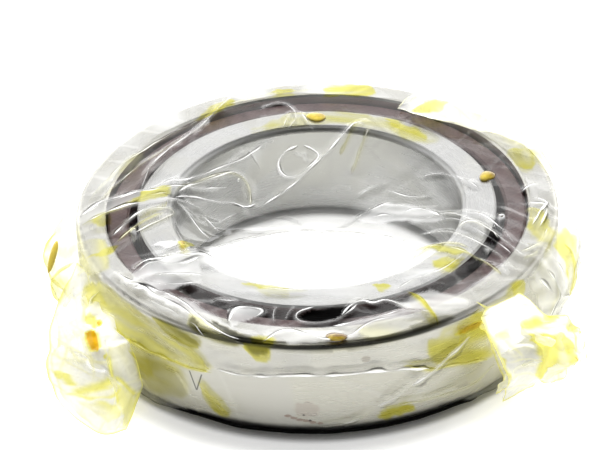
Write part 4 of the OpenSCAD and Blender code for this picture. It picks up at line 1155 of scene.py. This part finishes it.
# Seen straight or through film the table glows, as overexposed paper does, but for the
# shade at the ring's foot. What mirrors it sees less of that.
path = add_node(tree, "LightPath").outputs
seen = sum_of(tree, "MAXIMUM", path["Is Camera Ray"], path["Is Transmission Ray"])
seen_outside = sum_of(tree, "ADD", seen, sum_of(tree, "MULTIPLY", path["Is Glossy Ray"], 0.2), clamp=True)
seen_inside = sum_of(tree, "ADD", seen, sum_of(tree, "MULTIPLY", path["Is Glossy Ray"], 0.12), clamp=True)
from_axis = add_node(tree, "VectorMath", {0: object_place(tree)}, operation="LENGTH").outputs["Value"]
lit = sum_of(tree, "ADD", ramp_of(tree, from_axis, 0.0374, 0.0389, 0.0, 0.40),
             ramp_of(tree, from_axis, 0.0392, 0.0455, 0.0, 0.47))
lit = sum_of(tree, "ADD", sum_of(tree, "MULTIPLY", seen_outside, lit),
             sum_of(tree, "MULTIPLY", seen_inside, ramp_of(tree, from_axis, 0.0232, 0.0212, 0.0, 0.75)))
glow = add_node(tree, "Emission", {"Color": (1, 1, 1, 1), "Strength": lit})
both = add_node(tree, "AddShader", {0: shader.outputs[0], 1: glow.outputs[0]})
tree.links.new(both.outputs[0], tree.nodes["Material Output"].inputs["Surface"])
table.data.materials.append(white_table)

# The room is white to the camera. What the steel mirrors of it is bright behind, more so
# in a strip low down, and dark overhead and in front.
world = bpy.data.worlds.new("studio")
bpy.context.scene.world = world
world.use_nodes = True
tree = world.node_tree
path = add_node(tree, "LightPath").outputs
way = add_node(tree, "SeparateXYZ", {0: add_node(tree, "TexCoord").outputs["Generated"]}).outputs
low_wall = ramp_of(tree, way["Z"], 0.86, 0.62, 0.03, 1.35)
behind = ramp_of(tree, way["Y"], -0.45, 0.1, 0.03, 1.0)
strip = sum_of(tree, "MULTIPLY", ramp_of(tree, way["Z"], 0.02, 0.08), ramp_of(tree, way["Z"], 0.34, 0.26))
strip = sum_of(tree, "MULTIPLY", strip, ramp_of(tree, way["Y"], 0.45, 0.7, 0.0, 1.4))
mirrored = sum_of(tree, "ADD", sum_of(tree, "MULTIPLY", low_wall, behind), strip)
ambient = ramp_of(tree, way["Z"], 0.1, 0.5, 0.05, 0.45)
lighting = add_node(tree, "Mix", {"Factor": path["Is Glossy Ray"], "A": ambient, "B": mirrored})
seen = sum_of(tree, "MAXIMUM", path["Is Camera Ray"], path["Is Transmission Ray"])
strength = add_node(tree, "Mix", {"Factor": seen, "A": lighting.outputs["Result"], "B": 1.0})
tree.links.new(strength.outputs["Result"], tree.nodes["Background"].inputs["Strength"])
tree.nodes["Background"].inputs["Color"].default_value = (1, 1, 1, 1)


def softbox(name, place, size, watts, mirrored=True):
    """A rectangular area lamp that looks at the bearing."""
    lamp = bpy.data.lights.new(name, "AREA")
    lamp.shape = "RECTANGLE"
    lamp.size, lamp.size_y = size
    lamp.energy = watts
    held = bpy.data.objects.new(name, lamp)
    held.location = place
    held.rotation_euler = (-Vector(place)).to_track_quat("-Z", "Y").to_euler()
    held.visible_glossy = mirrored
    bpy.context.scene.collection.objects.link(held)


softbox("overhead lamp", (0.06, 0.18, 0.76), (0.30, 0.20), 3.2, mirrored=False)
softbox("rear lamp", (0.0, 0.50, 0.80), (0.7, 0.4), 4.4, mirrored=False)
softbox("small lamp", (-0.10, -0.12, 0.80), (0.09, 0.09), 0.35)

# ---- Sizes and points, for comparison ------------------------------------------------
# Where each thing shows, in pixels across and down, under the name of its image point.
bpy.context.scene.view_settings.view_transform = "Standard"


def shown_of(pieces, inner_radius=0.0, outer_radius=1.0, lowest=-1.0):
    """Where the camera shows the finished vertices of some pieces between two radii and above a height."""
    places = []
    for piece in pieces:
        finished = finished_mesh(piece)
        values = np.empty(3 * len(finished.vertices))
        finished.vertices.foreach_get("co", values)
        places.append(values.reshape(-1, 3))
    places = np.vstack(places)
    radius = np.hypot(places[:, 0], places[:, 1])
    places = places[(radius >= inner_radius) & (radius <= outer_radius) & (places[:, 2] >= lowest)]
    return np.array([shown_at(place) for place in places])


everything = shown_of([piece for piece in bpy.data.objects if piece.type == "MESH" and piece is not table])
shoulder_rim = shown_of([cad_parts["outer_ring"]], 0.0325, 0.0332, 0.0155)
bore_rim = shown_of([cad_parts["inner_ring"]], 0.0222, 0.0237, 0.0155)
found = {
    "left edge": (everything[:, 0].min(), None),
    "right edge": (everything[:, 0].max(), None),
    "top edge": (None, everything[:, 1].min()),
    "bottom edge": (None, everything[:, 1].max()),
    "shoulder rim at the left": shoulder_rim[shoulder_rim[:, 0].argmin()],
    "shoulder rim at the right": shoulder_rim[shoulder_rim[:, 0].argmax()],
    "shoulder rim at the back": shoulder_rim[shoulder_rim[:, 1].argmin()],
    "bore rim at the front": bore_rim[bore_rim[:, 1].argmax()],
}
found |= marks_shown
